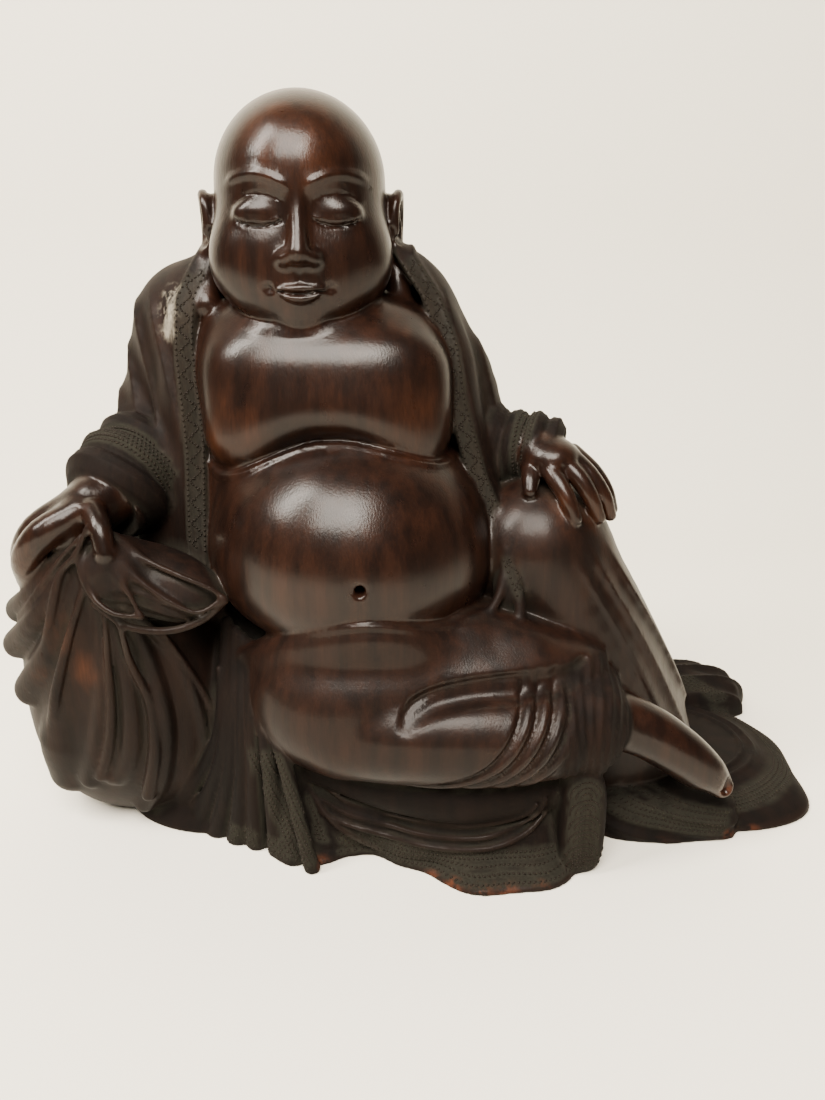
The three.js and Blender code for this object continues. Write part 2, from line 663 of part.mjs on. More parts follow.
// Moves every point onto the exact surface of the field
function settle(geometry, field, cell) {
  const p = geometry.attributes.position;
  const h = 0.05;
  for (let i = 0; i < p.count; i++) {
    const [x, y, z] = [p.getX(i), p.getY(i), p.getZ(i)];
    if (z < 0) continue;
    const d = field.d(x, y, z);
    const slope = [
      (field.d(x + h, y, z) - field.d(x - h, y, z)) / (2 * h),
      (field.d(x, y + h, z) - field.d(x, y - h, z)) / (2 * h),
      (field.d(x, y, z + h) - field.d(x, y, z - h)) / (2 * h),
    ];
    const step = clamp(d / max(slope[0] ** 2 + slope[1] ** 2 + slope[2] ** 2, 0.2), -cell / 4, cell / 4);
    p.setXYZ(i, x - step * slope[0], y - step * slope[1], z - step * slope[2]);
  }
  return geometry;
}

// Collapses the edges that matter least to the shape until the target number of triangles is left.
// Each point carries the sum of its planes, [aa, ab, ac, ad, bb, bc, bd, cc, cd, dd].
function thin(geometry, target) {
  const source = geometry.attributes.position;
  const read = (i) => new THREE.Vector3().fromBufferAttribute(source, i).toArray();
  const point = Array.from({ length: source.count }, (_, i) => read(i));
  const grounded = point.map((p) => abs(p[2]) < 1e-3);
  const planes = point.map(() => new Float64Array(10));
  const faces = [];
  const around = point.map(() => new Set());
  const stamp = new Uint32Array(point.length);
  const worth = (p) => {
    if (length3(...FACE.map((v, i) => v - p[i])) < FACE_REACH) return FACE_WORTH;
    return p[1] < FRONT ? FRONT_WORTH : 1;
  };
  const cross = (a, b, c) => {
    const [ux, uy, uz] = [b[0] - a[0], b[1] - a[1], b[2] - a[2]];
    const [vx, vy, vz] = [c[0] - a[0], c[1] - a[1], c[2] - a[2]];
    return [uy * vz - uz * vy, uz * vx - ux * vz, ux * vy - uy * vx];
  };
  for (let t = 0; t < geometry.index.count; t += 3) {
    const corners = [0, 1, 2].map((n) => geometry.index.getX(t + n));
    const n = cross(...corners.map((v) => point[v]));
    const twice = length3(...n);
    const [a, b, c] = n.map((v) => v / max(twice, 1e-12));
    const d = -(a * point[corners[0]][0] + b * point[corners[0]][1] + c * point[corners[0]][2]);
    const underside = c < -0.999 && corners.every((v) => grounded[v]);
    const weight = twice * (underside ? UNDERSIDE_WORTH : worth(point[corners[0]]));
    const terms = [a * a, a * b, a * c, a * d, b * b, b * c, b * d, c * c, c * d, d * d];
    for (const v of corners) {
      terms.forEach((term, i) => (planes[v][i] += term * weight));
      around[v].add(faces.length);
    }
    faces.push(corners);
  }
  const error = (q, [x, y, z]) =>
    q[0] * x * x + 2 * q[1] * x * y + 2 * q[2] * x * z + 2 * q[3] * x + q[4] * y * y +
    2 * q[5] * y * z + 2 * q[6] * y + q[7] * z * z + 2 * q[8] * z + q[9];
  const matrix = new THREE.Matrix3();
  // The cheapest place for the point that an edge becomes
  const plan = (a, b) => {
    const q = planes[a].map((v, i) => v + planes[b][i]);
    const middle = point[a].map((v, i) => (v + point[b][i]) / 2);
    const places = [middle, point[a], point[b]];
    matrix.set(q[0], q[1], q[2], q[1], q[4], q[5], q[2], q[5], q[7]);
    if (abs(matrix.determinant()) > 1e-4 * (q[0] + q[4] + q[7]) ** 3) {
      const best = new THREE.Vector3(-q[3], -q[6], -q[8]).applyMatrix3(matrix.invert());
      if (best.distanceTo(new THREE.Vector3(...middle)) < 12) places.unshift(best.toArray());
    }
    const ground = grounded[a] || grounded[b];
    const ranked = places.map(([x, y, z]) => [x, y, ground ? 0 : max(z, 0.05)]).map((p) => [error(q, p), p]);
    const [cost, place] = ranked.reduce((low, next) => (next[0] < low[0] ? next : low));
    const span = length3(...point[a].map((v, i) => v - point[b][i]));
    return { cost: cost + 0.002 * span ** 3, a, b, place, q, at: stamp[a] + stamp[b] };
  };
  const heap = [];
  const push = (item) => {
    let i = heap.push(item) - 1;
    while (i && heap[(i - 1) >> 1].cost > item.cost) {
      heap[i] = heap[(i - 1) >> 1];
      i = (i - 1) >> 1;
    }
    heap[i] = item;
  };
  const pop = () => {
    const top = heap[0];
    const last = heap.pop();
    let i = 0;
    while (heap.length) {
      let child = 2 * i + 1;
      if (child + 1 < heap.length && heap[child + 1].cost < heap[child].cost) child++;
      if (child >= heap.length || heap[child].cost >= last.cost) break;
      heap[i] = heap[child];
      i = child;
    }
    if (heap.length) heap[i] = last;
    return top;
  };
  const near = (v) => new Set([...around[v]].flatMap((f) => faces[f].filter((w) => w !== v)));
  const keepsFacing = (v, other, place) =>
    [...around[v]].every((f) => {
      if (faces[f].includes(other)) return true;
      const before = cross(...faces[f].map((w) => point[w]));
      const after = cross(...faces[f].map((w) => (w === v ? place : point[w])));
      const dot = before[0] * after[0] + before[1] * after[1] + before[2] * after[2];
      return dot > 0.3 * length3(...before) * length3(...after) && length3(...after) > 0.05;
    });
  faces.forEach(([a, b, c]) => [[a, b], [b, c], [c, a]].forEach(([u, v]) => u < v && push(plan(u, v))));
  let left = faces.length;
  while (left > target && heap.length) {
    const { a, b, place, q, at } = pop();
    if (!around[a].size || !around[b].size || at !== stamp[a] + stamp[b]) continue;
    const beside = near(b);
    if ([...near(a)].filter((v) => beside.has(v)).length !== 2) continue;
    if (!keepsFacing(a, b, place) || !keepsFacing(b, a, place)) continue;
    for (const f of around[b]) {
      if (faces[f].includes(a)) {
        faces[f].forEach((v) => v !== b && around[v].delete(f));
        faces[f] = null;
        left--;
      } else {
        faces[f] = faces[f].map((v) => (v === b ? a : v));
        around[a].add(f);
      }
    }
    around[b].clear();
    point[a] = place;
    planes[a] = q;
    grounded[a] = grounded[a] || grounded[b];
    stamp[a] += source.count;
    for (const v of near(a)) push(plan(min(a, v), max(a, v)));
  }
  const rest = faces.filter((f) => f).flat();
  const kept = new Map([...new Set(rest)].map((v, i) => [v, i]));
  const positions = new THREE.Float32BufferAttribute([...kept.keys()].flatMap((v) => point[v]), 3);
  const thinned = new THREE.BufferGeometry().setAttribute("position", positions);
  return thinned.setIndex(rest.map((v) => kept.get(v)));
}

const rough = outerSkin(await joined(surfaceOf(body, BODY_CUBE), surfaceOf(headForm, HEAD_CUBE)));
const geometry = thin(rough, TRIANGLES).translate(-BASE_MIDDLE[0], -BASE_MIDDLE[1], 0);
geometry.computeVertexNormals();
const wood = new THREE.MeshStandardMaterial({ color: 0x3a1f14, roughness: 0.3, metalness: 0 });
const carving = new THREE.Mesh(geometry, wood);
carving.name = "carving";
const root = new THREE.Group();
root.add(carving);
export default root;
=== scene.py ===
# The looks of a big-bellied sage carved from one block of hardwood.
# The carving is one distance field in millimetres, negative inside the wood, with the same forms as
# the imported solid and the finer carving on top. It is sampled on a grid, meshed and thinned.
from concurrent.futures import ThreadPoolExecutor
from math import cos, hypot, pi, radians, sin

import bpy
import numpy as np
import openvdb
from mathutils import Euler, Matrix, Vector
from mathutils.bvhtree import BVHTree
from mathutils.kdtree import KDTree


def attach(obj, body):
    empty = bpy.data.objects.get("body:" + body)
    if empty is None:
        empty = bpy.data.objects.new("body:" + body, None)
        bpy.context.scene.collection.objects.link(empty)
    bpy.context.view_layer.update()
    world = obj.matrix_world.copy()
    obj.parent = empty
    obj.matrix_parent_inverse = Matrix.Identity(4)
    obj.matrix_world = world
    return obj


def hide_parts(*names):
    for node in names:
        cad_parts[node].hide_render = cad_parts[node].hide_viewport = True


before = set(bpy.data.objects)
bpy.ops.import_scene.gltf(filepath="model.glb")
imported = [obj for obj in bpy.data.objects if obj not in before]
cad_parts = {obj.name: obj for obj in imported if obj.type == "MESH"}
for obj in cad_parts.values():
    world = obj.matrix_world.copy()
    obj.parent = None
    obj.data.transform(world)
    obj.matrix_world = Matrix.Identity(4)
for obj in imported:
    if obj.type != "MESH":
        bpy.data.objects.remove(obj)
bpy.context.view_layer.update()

# Driving dimensions, in millimetres, in the frame in which the figure was drawn
HEAD = (-44, -2, 256)
HEAD_YAW = 4
ROBE_BORDER = 9
GRAIN = 1.0  # radius of the grains that the carved borders are made of, before each is stretched
STROKE_PITCH = 1.9  # between the short strokes of a hatched border
SACK_NECK = (-134, -40, 126)
SACK_HEART = (-123, -13, 55)
SKIRT_MIDDLE = (-10, 20)
LOBE_MIDDLE = (126, 2)
LOBE_SIZE = (61, 55)
BASE_MIDDLE = (5.3, 4.6)  # moved to the origin of the part
FIELD_LOW = (-184, -106, -4)
FIELD_HIGH = (196, 114, 304)
CELL = 0.9  # sampling step
BLOCK = 12  # cells along a block
CLIP = 5.0  # distances beyond this aren't told apart
SURE = 9.0  # a block farther than this from the surface isn't sampled
TRIANGLES = 192000


# Number helpers
def ease(start, end, value):
    t = np.clip((value - start) / (end - start), 0, 1)
    return t * t * (3 - 2 * t)


def puff(t):
    """Rounded backs between sharp valleys, one for each whole number."""
    return np.abs(np.sin(pi * t))


def crest(t):
    """Crisp ridges between scooped troughs, one for each whole number."""
    return 1 - np.abs(np.sin(pi * t))


def bump(value, centre, half):
    """A single rounded ridge about a value."""
    return ease(half, 0, np.abs(value - centre))


def ring(x, z, x0, z0, wide, high):
    return np.sqrt(((x - x0) / wide) ** 2 + ((z - z0) / high) ** 2)


def blend_min(a, b, k):
    h = np.maximum(k - np.abs(a - b), 0) / k
    return np.minimum(a, b) - h * h * (k * 0.25)


def along(table, at):
    places, values = zip(*table)
    return np.interp(at, places, values).astype(np.float32)


# Forms: a box of two corners and a distance at the points of a patch
class Form:
    def __init__(self, box, d):
        self.box = np.array(box, float)
        self.d = d


class Patch:
    """Points whose x, y and z broadcast together, with the box they lie in."""

    def __init__(self, x, y, z):
        self.x = x
        self.y = y
        self.z = z
        self.shape = np.broadcast(x, y, z).shape
        self.low = np.array([x.min(), y.min(), z.min()])
        self.high = np.array([x.max(), y.max(), z.max()])

    def gap(self, box):
        return float(np.linalg.norm(np.maximum(np.maximum(box[0] - self.high, self.low - box[1]), 0)))


def box_round(forms, grow):
    return (
        np.min([form.box[0] for form in forms], axis=0) - grow,
        np.max([form.box[1] for form in forms], axis=0) + grow,
    )


def ball(centre, radii, turn=(0, 0, 0), power=2):
    """An ellipsoid, turned by degrees about X, then Y, then Z; a power over 2 makes it boxy."""
    axes = np.array(Euler([radians(v) for v in turn]).to_matrix(), np.float32)
    turned = any(turn)
    centre = np.array(centre, float)
    size = hypot(*radii) * (1 if power > 2 else 0.8)
    reach = np.full(3, size) if turned else np.array(radii, float)

    def d(p):
        offset = [p.x - centre[0], p.y - centre[1], p.z - centre[2]]
        if turned:
            offset = [sum(axes[i, n] * offset[i] for i in range(3)) for n in range(3)]
        near = 0
        slope = 0
        for value, radius in zip(offset, radii):
            share = np.abs(value / radius)
            near = near + (share * share if power == 2 else share ** power)
            slope = slope + (share if power == 2 else share ** (power - 1)) ** 2 / radius ** 2
        near = np.maximum(near, 1e-9)
        inverse = near ** (1 / power) if power != 2 else np.sqrt(near)
        return (inverse - 1) * inverse ** (power - 1) / np.sqrt(np.maximum(slope, 1e-12))

    return Form((centre - reach, centre + reach), d)


def route(stations, steps):
    """Points with a radius on a smooth curve through [x, y, z, radius] stations."""
    knots = np.array(stations, float)
    places = knots[:, :3]
    row = np.vstack([2 * places[0] - places[1], places, 2 * places[-1] - places[-2]])
    points = []
    for s in range(len(knots) - 1):
        a, b, c, e = row[s:s + 4]
        for t in np.arange(steps) / steps:
            start = (c - a) / 2
            finish = (e - b) / 2
            bend = (2 * b - 2 * c + start + finish) * t ** 3 + (3 * c - 3 * b - 2 * start - finish) * t * t
            radius = knots[s][3] + (knots[s + 1][3] - knots[s][3]) * t
            points.append([*(bend + start * t + b), radius])
    return points + [list(knots[-1])]


def limb(stations, steps=4):
    """A limb, finger or fold that follows its stations."""
    points = route(stations, steps)
    spans = []
    for a, b in zip(points, points[1:]):
        a, b = np.array(a), np.array(b)
        grow = max(a[3], b[3])
        box = (np.minimum(a, b)[:3] - grow, np.maximum(a, b)[:3] + grow)
        spans.append((a, b - a, box))
    whole = (np.min([s[2][0] for s in spans], axis=0), np.max([s[2][1] for s in spans], axis=0))

    def d(p):
        best = np.full(p.shape, 30, np.float32)
        for a, u, box in spans:
            if p.gap(box) > 14:
                continue
            x = p.x - a[0]
            y = p.y - a[1]
            z = p.z - a[2]
            length = float(u[:3] @ u[:3])
            dot = u[0] * x + u[1] * y + u[2] * z
            t = np.clip(dot / length, 0, 1)
            square = x * x + y * y + z * z - t * (2 * dot - t * length)
            best = np.minimum(best, np.sqrt(np.maximum(square, 0)) - a[3] - t * u[3])
        return best

    return Form(whole, d)


def laid(base, stations, out=0.0):
    """A thin fold or groove whose [x, z, radius] stations lie on the front of a form, or out from it."""
    depths = np.arange(FIELD_LOW[1], 0, 0.5, dtype=np.float32)
    row = []
    for x, z, radius in stations:
        near = base.d(Patch(np.full(1, x, np.float32), depths, np.full(1, z, np.float32)))
        front = depths[np.argmax(near <= max(near.min(), 0))]
        row.append((x, float(front) - out, z, radius))
    return limb(row, 6)


def merge(k, *forms):
    """Forms run together with a fillet of size k."""
    reach = k + 10

    def d(p):
        best = np.full(p.shape, reach, np.float32)
        for form in forms:
            if p.gap(form.box) < reach:
                best = blend_min(best, form.d(p), k)
        return best

    return Form(box_round(forms, k * 0.25), d)


def carve(k, base, *tools):
    """The base with the tools cut out of it, the rims rounded by k."""

    def d(p):
        best = base.d(p)
        for tool in tools:
            if p.gap(tool.box) < k + 3:
                best = -blend_min(-best, tool.d(p), k)
        return best

    return Form(base.box, d)


def relief(form, most, lift):
    """A form whose surface is lifted by lift(x, y, z), at most most."""

    def d(p):
        base = form.d(p)
        if np.min(np.abs(base)) > most + 6:
            return base
        return base - lift(p.x, p.y, p.z)

    return Form(box_round([form], most), d)


def warp(form, most, rise):
    """A form whose matter is moved up by rise(x, y, z), at most most."""
    return Form(box_round([form], most), lambda p: form.d(Patch(p.x, p.y, p.z - rise(p.x, p.y, p.z))))


def placed(at, yaw, form):
    """A form drawn about an origin of its own, turned by yaw degrees about Z."""
    c = cos(radians(yaw))
    s = sin(radians(yaw))
    reach = float(np.linalg.norm(np.max(np.abs(form.box), axis=0)))
    at = np.array(at, float)

    def d(p):
        u = p.x - at[0]
        v = p.y - at[1]
        return form.d(Patch(c * u + s * v, c * v - s * u, p.z - at[2]))

    return Form((at - reach, at + reach), d)


def both_sides(make):
    return [make(-1), make(1)]


def head():
    """A calm, full face of plain proportions with closed eyes, long-lobed ears and no hair."""
    skull = merge(
        12,
        ball((0, 4, 10), (33.5, 37, 34)),
        ball((0, -2, -14), (32, 32, 28.5)),
        *both_sides(lambda s: ball((s * 18, -14, -19), (16, 16.5, 17))),
        ball((0, -21, -29.5), (20, 14, 14)),
    )
    sockets = both_sides(lambda s: ball((s * 14.5, -38.4, 1), (11.5, 6, 6)))
    nose = merge(
        3,
        limb([(0, -30, 7, 2.4), (0, -34, -5, 3), (0, -37.6, -14, 4.2)]),
        *both_sides(lambda s: ball((s * 5.2, -34.8, -16), (3.4, 4.2, 3.2))),
    )
    nostrils = both_sides(lambda s: ball((s * 3.1, -37, -19.4), (1.4, 2, 1.2)))
    lids = both_sides(lambda s: ball((s * 14, -26.8, -0.6), (9.6, 5.4, 5.6)))
    face = merge(
        2.5,
        carve(8, skull, *sockets),
        *lids,
        carve(0.8, nose, *nostrils),
        ball((0, -29.4, -36.5), (9, 5.8, 5.6)),
    )

    def features(x, y, z):
        side = np.abs(x)
        eye = np.sqrt(np.clip(1 - ((side - 14) / 9.6) ** 2, 0, 1))
        within = ease(4.6, 6.6, side) * ease(23.6, 21.4, side)
        slit = -1.1 * bump(z, -0.9 - 3.9 * eye, 1)
        lashes = 0.5 * bump(z, 0.4 - 3.9 * eye, 1)
        fold = -0.6 * bump(z, 0.8 + 5.4 * eye, 1)
        brow_line = 8.4 + 4.6 * np.sin(pi * np.clip((side - 3) / 27, 0, 1))
        brow = 1.1 * bump(z, brow_line, 3) * ease(2, 6, side) * ease(29, 23, side)
        seam = -28.2 + 0.012 * side * side
        upper = np.clip((z - seam) / (3.6 * np.clip(1 - (side / 10.8) ** 2, 0.02, 1)), 0, 1)
        lower = np.clip((seam - z) / (4.4 * np.clip(1 - (side / 9.4) ** 2, 0.02, 1)), 0, 1)
        lips = 1.5 * (np.sin(pi * upper) + 1.25 * np.sin(pi * lower)) * ease(11, 7, side)
        parting = -1 * bump(z, seam, 0.9) * ease(12, 10.4, side)
        corners = -0.9 * ease(2.6, 0.6, np.hypot(side - 11.6, z + 26.6))
        groove = -0.6 * bump(x, 0, 1.7) * ease(-20, -21.4, z) * ease(-25.2, -24, z)
        return ease(-14, -22, y) * ((slit + lashes + fold) * within + brow + lips + parting + corners + groove)

    def ear(s):
        flap = merge(
            4,
            ball((s * 35, 7, -7), (4.4, 9.6, 13.5), (0, 0, s * 20)),
            limb([(s * 36.4, 4, -17, 4.4), (s * 38, 0, -27, 4.8), (s * 38.6, -5, -35.4, 6)]),
        )
        rim = limb([
            (s * 36, -1, -5, 1.6), (s * 37.6, 1, 3, 1.9), (s * 39, 8, 6, 2.1), (s * 39.6, 14.6, 0, 2),
            (s * 39.4, 13, -11, 1.8), (s * 39, 6, -20, 1.6),
        ])
        inner = limb([(s * 38.4, 8.4, 0, 1.2), (s * 39.2, 9, -8, 1.4), (s * 38.8, 4.4, -14.4, 1.5)])
        hollow = ball((s * 40.8, 4.4, -5), (3.2, 6.2, 9))
        bore = ball((s * 39, 0.8, -11), (2.4, 2.4, 2.8))
        return merge(1.2, carve(1.6, flap, hollow, bore), rim, inner)

    return merge(2, relief(face, 3, features), *both_sides(ear))


def neck():
    """Rolls of flesh below the chin, set back under it."""
    return merge(
        1.4,
        ball((-44, -7, 213), (32, 29, 10)),
        ball((-43, -6, 204), (36, 32, 8)),
        ball((-42, 8, 200), (38, 34, 26)),
    )


def chest():
    """A broad, smooth shield with a hanging lower edge that arches over the belly."""
    return warp(
        merge(
            14,
            ball((-34, -13, 183), (50.5, 31.5, 31), (-10, 0, 0), 3.4),
            ball((-39, 0, 203), (50, 27, 24), (0, 0, 0), 2.8),
        ),
        18,
        lambda x, y, z: (17 * ease(46, 2, np.abs(x + 33)) - 3) * ease(0, -40, y) * ease(214, 170, z),
    )


def torso():
    """The chest over the belly, with a thin second rim that follows the chest's lower edge."""
    shield = chest()
    soft = merge(16, ball((-26, -12, 132), (59.5, 63, 46)), ball((-24, -20, 117), (57, 56, 34)),
                 ball((-64, -6, 158), (24, 28, 22)))
    navel = limb([(-19.5, -84, 125, 2), (-19.5, -66, 125, 1.9)])

    def rimmed(p):
        base = soft.d(p)
        if p.high[2] < 150 or p.low[1] > -10 or np.min(np.abs(base)) > 6:
            return base
        below = shield.d(p)
        return base - 0.9 * bump(below, 3.6, 2.2) * ease(-14, -30, p.y) * ease(150, 158, p.z)

    return merge(1.5, shield, carve(2, Form(box_round([soft], 2), rimmed), navel))


# The robe's open edges as seen from the front, by height
EDGE_LEFT = ((88, -76), (120, -84), (166, -83), (205, -86), (224, -85), (240, -78))
EDGE_RIGHT = ((88, 50), (113, 40), (132, 32), (154, 22), (185, 13), (205, 10), (224, 3), (240, -8))


def open_gap(x, z):
    return np.maximum(along(EDGE_LEFT, z) - x, x - along(EDGE_RIGHT, z))


def robe():
    back = merge(
        18,
        limb([(-90, 14, 209, 26), (-45, 22, 214, 25), (-8, 14, 213, 25)]),
        ball((-44, 24, 165), (60, 39, 74)),
        ball((-26, 18, 112), (70, 58, 60)),
        ball((-12, 26, 50), (90, 62, 62)),
        ball((-92, -6, 112), (26, 24, 60)),
        ball((-106, 4, 126), (20, 18, 30)),
        ball((-14, 22, 0), (102, 80, 38), (0, 0, 0), 2.3),
    )
    fronts = merge(
        8,
        limb([(-82, 4, 232, 9), (-93, -8, 205, 9.5), (-93, -16, 170, 10), (-91, -20, 138, 10),
              (-88, -24, 104, 10)]),
        limb([(-4, 4, 232, 9), (15, -8, 204, 8), (20, -14, 178, 8), (27, -20, 150, 8), (44, -32, 112, 8),
              (50, -38, 92, 7)]),
    )
    arms = [
        limb([(-90, 14, 209, 26), (-103, 12, 182, 22), (-108, 4, 164, 21), (-115, -12, 154, 19)]),
        limb([(-8, 14, 213, 25), (13, 12, 186, 22), (24, 6, 164, 18), (38, -2, 160, 15)]),
    ]

    def drapery(x, y, z):
        turn = np.arctan2(y - SKIRT_MIDDLE[1], x - SKIRT_MIDDLE[0])
        falling = crest(turn * 19 / (2 * pi) + 0.4 * np.sin(z / 34))
        slung = crest((z + 0.009 * (x + 45) ** 2) / 24) * ease(120, 150, z) * ease(226, 200, z)
        return ease(6, 26, y) * (3 * falling * ease(180, 70, z) + 2 * slung * ease(20, 40, y))

    def lengthwise(x, y, z):
        return 1.8 * crest((x + 0.25 * z) / 10) * ease(150, 180, z) * ease(232, 215, z) * ease(20, 0, y)

    def border(x, y, z):
        gap = open_gap(x, z)
        band = 1.5 * ease(-1, 0.6, gap) * ease(ROBE_BORDER + 0.8, ROBE_BORDER, gap)
        piping = 0.7 * (bump(gap, 1.6, 1) + bump(gap, ROBE_BORDER - 1.4, 1))
        return (band + piping) * ease(14, 4, y)

    def lift(x, y, z):
        return drapery(x, y, z) + np.maximum(lengthwise(x, y, z), border(x, y, z))

    opening = Form(
        ((-100, -100, 70), (60, 14, 300)),
        lambda p: np.maximum(open_gap(p.x, p.z), (p.y - 8) * 0.8),
    )
    collar = ball((-44, 0, 240), (34, 32, 44))
    return carve(1.5, relief(merge(9, back, fronts, *arms), 6, lift), opening, collar)


def sleeves():
    """Sleeves pushed up into rings, each open round the wrist."""

    def rings(origin, axis, spacing):
        def lift(x, y, z):
            s = (x - origin[0]) * axis[0] + (y - origin[1]) * axis[1] + (z - origin[2]) * axis[2]
            wave = s / spacing + 0.35 * np.sin((x - z) / 20)
            return 2.6 * (puff(wave) - 0.5) + 0.7 * (crest(wave * 3 + 0.4) - 0.5)

        return lift

    right = relief(
        limb([(-104, 6, 166, 20), (-113, -8, 157, 22), (-120, -22, 150, 22)]),
        4,
        rings((-112, 0, 160), (-0.4, -0.82, -0.4), 12),
    )
    left = relief(
        limb([(24, 4, 163, 17), (40, -4, 161, 15.5), (53, -9, 161, 15)]),
        4,
        rings((30, 0, 160), (0.95, -0.3, 0), 10),
    )
    return merge(
        3,
        carve(1.6, right, ball((-127, -44, 141), (17, 15, 17))),
        carve(1.6, left, ball((67, -13, 160), (11, 11, 10))),
    )


def hand_on_sack():
    """The hand that grips the sack's neck, knuckles up and thumb in front."""
    return merge(
        2,
        limb([(-117, -26, 150, 12), (-127, -38, 146, 12), (-135, -44, 139, 10.5)]),
        limb([(-130, -48, 146, 6), (-143, -53, 139, 6.4), (-152, -51, 128, 6), (-155, -45, 117, 5)]),
        limb([(-135, -40, 147, 6), (-149, -44, 138, 6), (-157, -41, 126, 5.6), (-158, -34, 116, 4.8)]),
        limb([(-136, -30, 146, 6), (-151, -32, 136, 5.8), (-159, -30, 124, 5.4), (-160, -24, 116, 4.6)]),
        limb([(-124, -50, 147, 5), (-119, -58, 142, 4.4), (-117, -62, 134, 3.8)]),
    )


def hand_on_knee():
    """A slender hand that rests on the knee, its fingers draped over the front and the outside."""
    palm = merge(
        6,
        limb([(42, -8, 163, 9), (53, -17, 162, 8.5), (60, -22, 160, 6.6)]),
        ball((57, -20, 161), (11, 12, 7)),
    )
    fingers = [
        limb([(49, -21, 159, 4.2), (48, -29, 154, 3.8), (47.5, -33, 150, 3)]),
        limb([(53, -24, 161, 4.4), (58, -33, 154.5, 4), (62, -38, 148, 3.5), (65.5, -40, 140.5, 2.6)]),
        limb([(60, -25, 161, 4.3), (67, -31, 155, 4), (72, -34, 147.5, 3.5), (76, -34, 139, 2.7)]),
        limb([(65, -21, 161, 4.2), (72, -26, 155, 4), (78, -29, 147, 3.4), (81.5, -29, 138.5, 2.6)]),
        limb([(67, -14, 161, 4), (75, -19, 154.5, 3.7), (80.5, -22, 147, 3.2), (84, -21, 138.5, 2.4)]),
    ]
    return merge(1.2, palm, *fingers)


def raised_leg():
    cloth = merge(
        12,
        limb([(4, 36, 84, 40), (32, 8, 104, 34), (53, -17, 121, 28)]),
        limb([(53, -18, 121, 28.5), (67, -19, 96, 30.5), (80, -17, 65, 33), (92, -12, 36, 35),
              (100, -8, -4, 37)]),
    )

    def lift(x, y, z):
        out = (x - 53) * 0.87 + (z - 121) * 0.49  # across the shin, from its middle outwards
        lines = crest(out / 7 + 0.15 * np.sin(z / 17))
        return 2 * ease(8, 18, out) * (lines - 0.3) * ease(134, 108, z)

    return relief(cloth, 3, lift)


def trousers():
    """The folded leg: a smooth lap and knee, the calf below the crease, ring folds and the cuff."""
    lap = merge(
        18,
        ball((6, -36, 76), (64, 47, 31)),
        ball((-30, -50, 68), (38, 37, 33), (0, 18, 0)),
        ball((44, -52, 80), (36, 22, 14), (0, -6, 0)),
    )
    calf = limb([
        (-26, -66, 62, 22), (4, -73, 63, 21), (34, -74, 63, 20.5), (56, -69, 62, 20), (70, -62, 61, 19),
    ])
    cuff = ball((71, -58, 62), (15.5, 25, 22), (0, 0, -8), 2.6)

    def lift(x, y, z):
        out = ring(x, z, -13, 92, 56, 48)
        shown = ease(0.93, 1.0, out) * ease(1.5, 1.38, out) * ease(-40, 4, x)
        wave = (out - 1) / 0.115
        rings = 3 * shown * ease(-30, -55, y) * ease(92, 84, z) * (puff(wave) - 0.65)
        pleat = x / 3.7 + 0.35 * np.sin(z / 11 + x / 9)
        pleats = 0.9 * (crest(pleat) - 0.4) * ease(54, 60, x) * ease(90, 84, x) * ease(-28, -40, y)
        pleats = pleats * ease(92, 87, z)
        return rings * ease(64, 58, x) + pleats

    rim = (
        (-69, -53, 88, 2), (-56, -61, 94, 4), (-46, -68.4, 101, 6), (-38, -73.4, 105.6, 7.4),
        (-26, -77, 109.6, 9), (-14, -77.4, 110.6, 9), (-1, -74, 107.6, 9), (12, -67.4, 102.4, 9),
        (21, -63, 103.4, 9), (29, -60.4, 101.8, 9), (38, -61.4, 99.4, 8), (46, -62, 97, 6),
    )  # the last number is how broad the cloth is rounded below the rim
    rise = limb([(x, y + 0.75 * r, z - 0.75 * r, r) for x, y, z, r in rim])
    waist = limb([(x, y, z, 1.4) for x, y, z, r in rim])
    drawn = relief(merge(2, merge(10, lap, rise), calf, cuff), 5, lift)
    scoop = laid(drawn, [
        (-2, 76, 2), (2, 79, 3), (10, 82.4, 3.5), (24, 85, 3.6), (40, 85.8, 3.6), (56, 86.2, 3.4), (66, 87, 2.6),
    ], 1.5)
    crease = laid(drawn, [
        (-3.6, 75.6, 1.1), (-2.6, 78.4, 1.6), (1, 81.6, 1.9), (8, 84.6, 2), (19, 87, 2.1), (35, 88.4, 2.1),
        (52, 88.6, 2.1), (62, 88.8, 2), (68, 90.4, 1.6),
    ])
    return merge(1, carve(0.8, carve(5, drawn, scoop), crease), waist)


def foot():
    bare = merge(
        7,
        limb([(76, -55, 61, 13.5), (96, -58, 54.5, 11.5), (112, -60, 45, 10), (123, -61, 36.5, 8),
              (130, -61, 29, 5.2)], 6),
        limb([(84, -47, 54, 9), (104, -51, 44, 9), (118, -55, 34.5, 7.5)], 6),
    )
    edge = limb([(84, -50, 70, 0.9), (96, -53, 65.6, 1.1), (112, -56, 54.6, 1.1), (123, -58, 44, 1),
                 (129, -59, 35, 0.8)], 6)
    nail = ball((131, -65, 31), (3, 2.4, 4))
    return carve(1, bare, edge, nail)


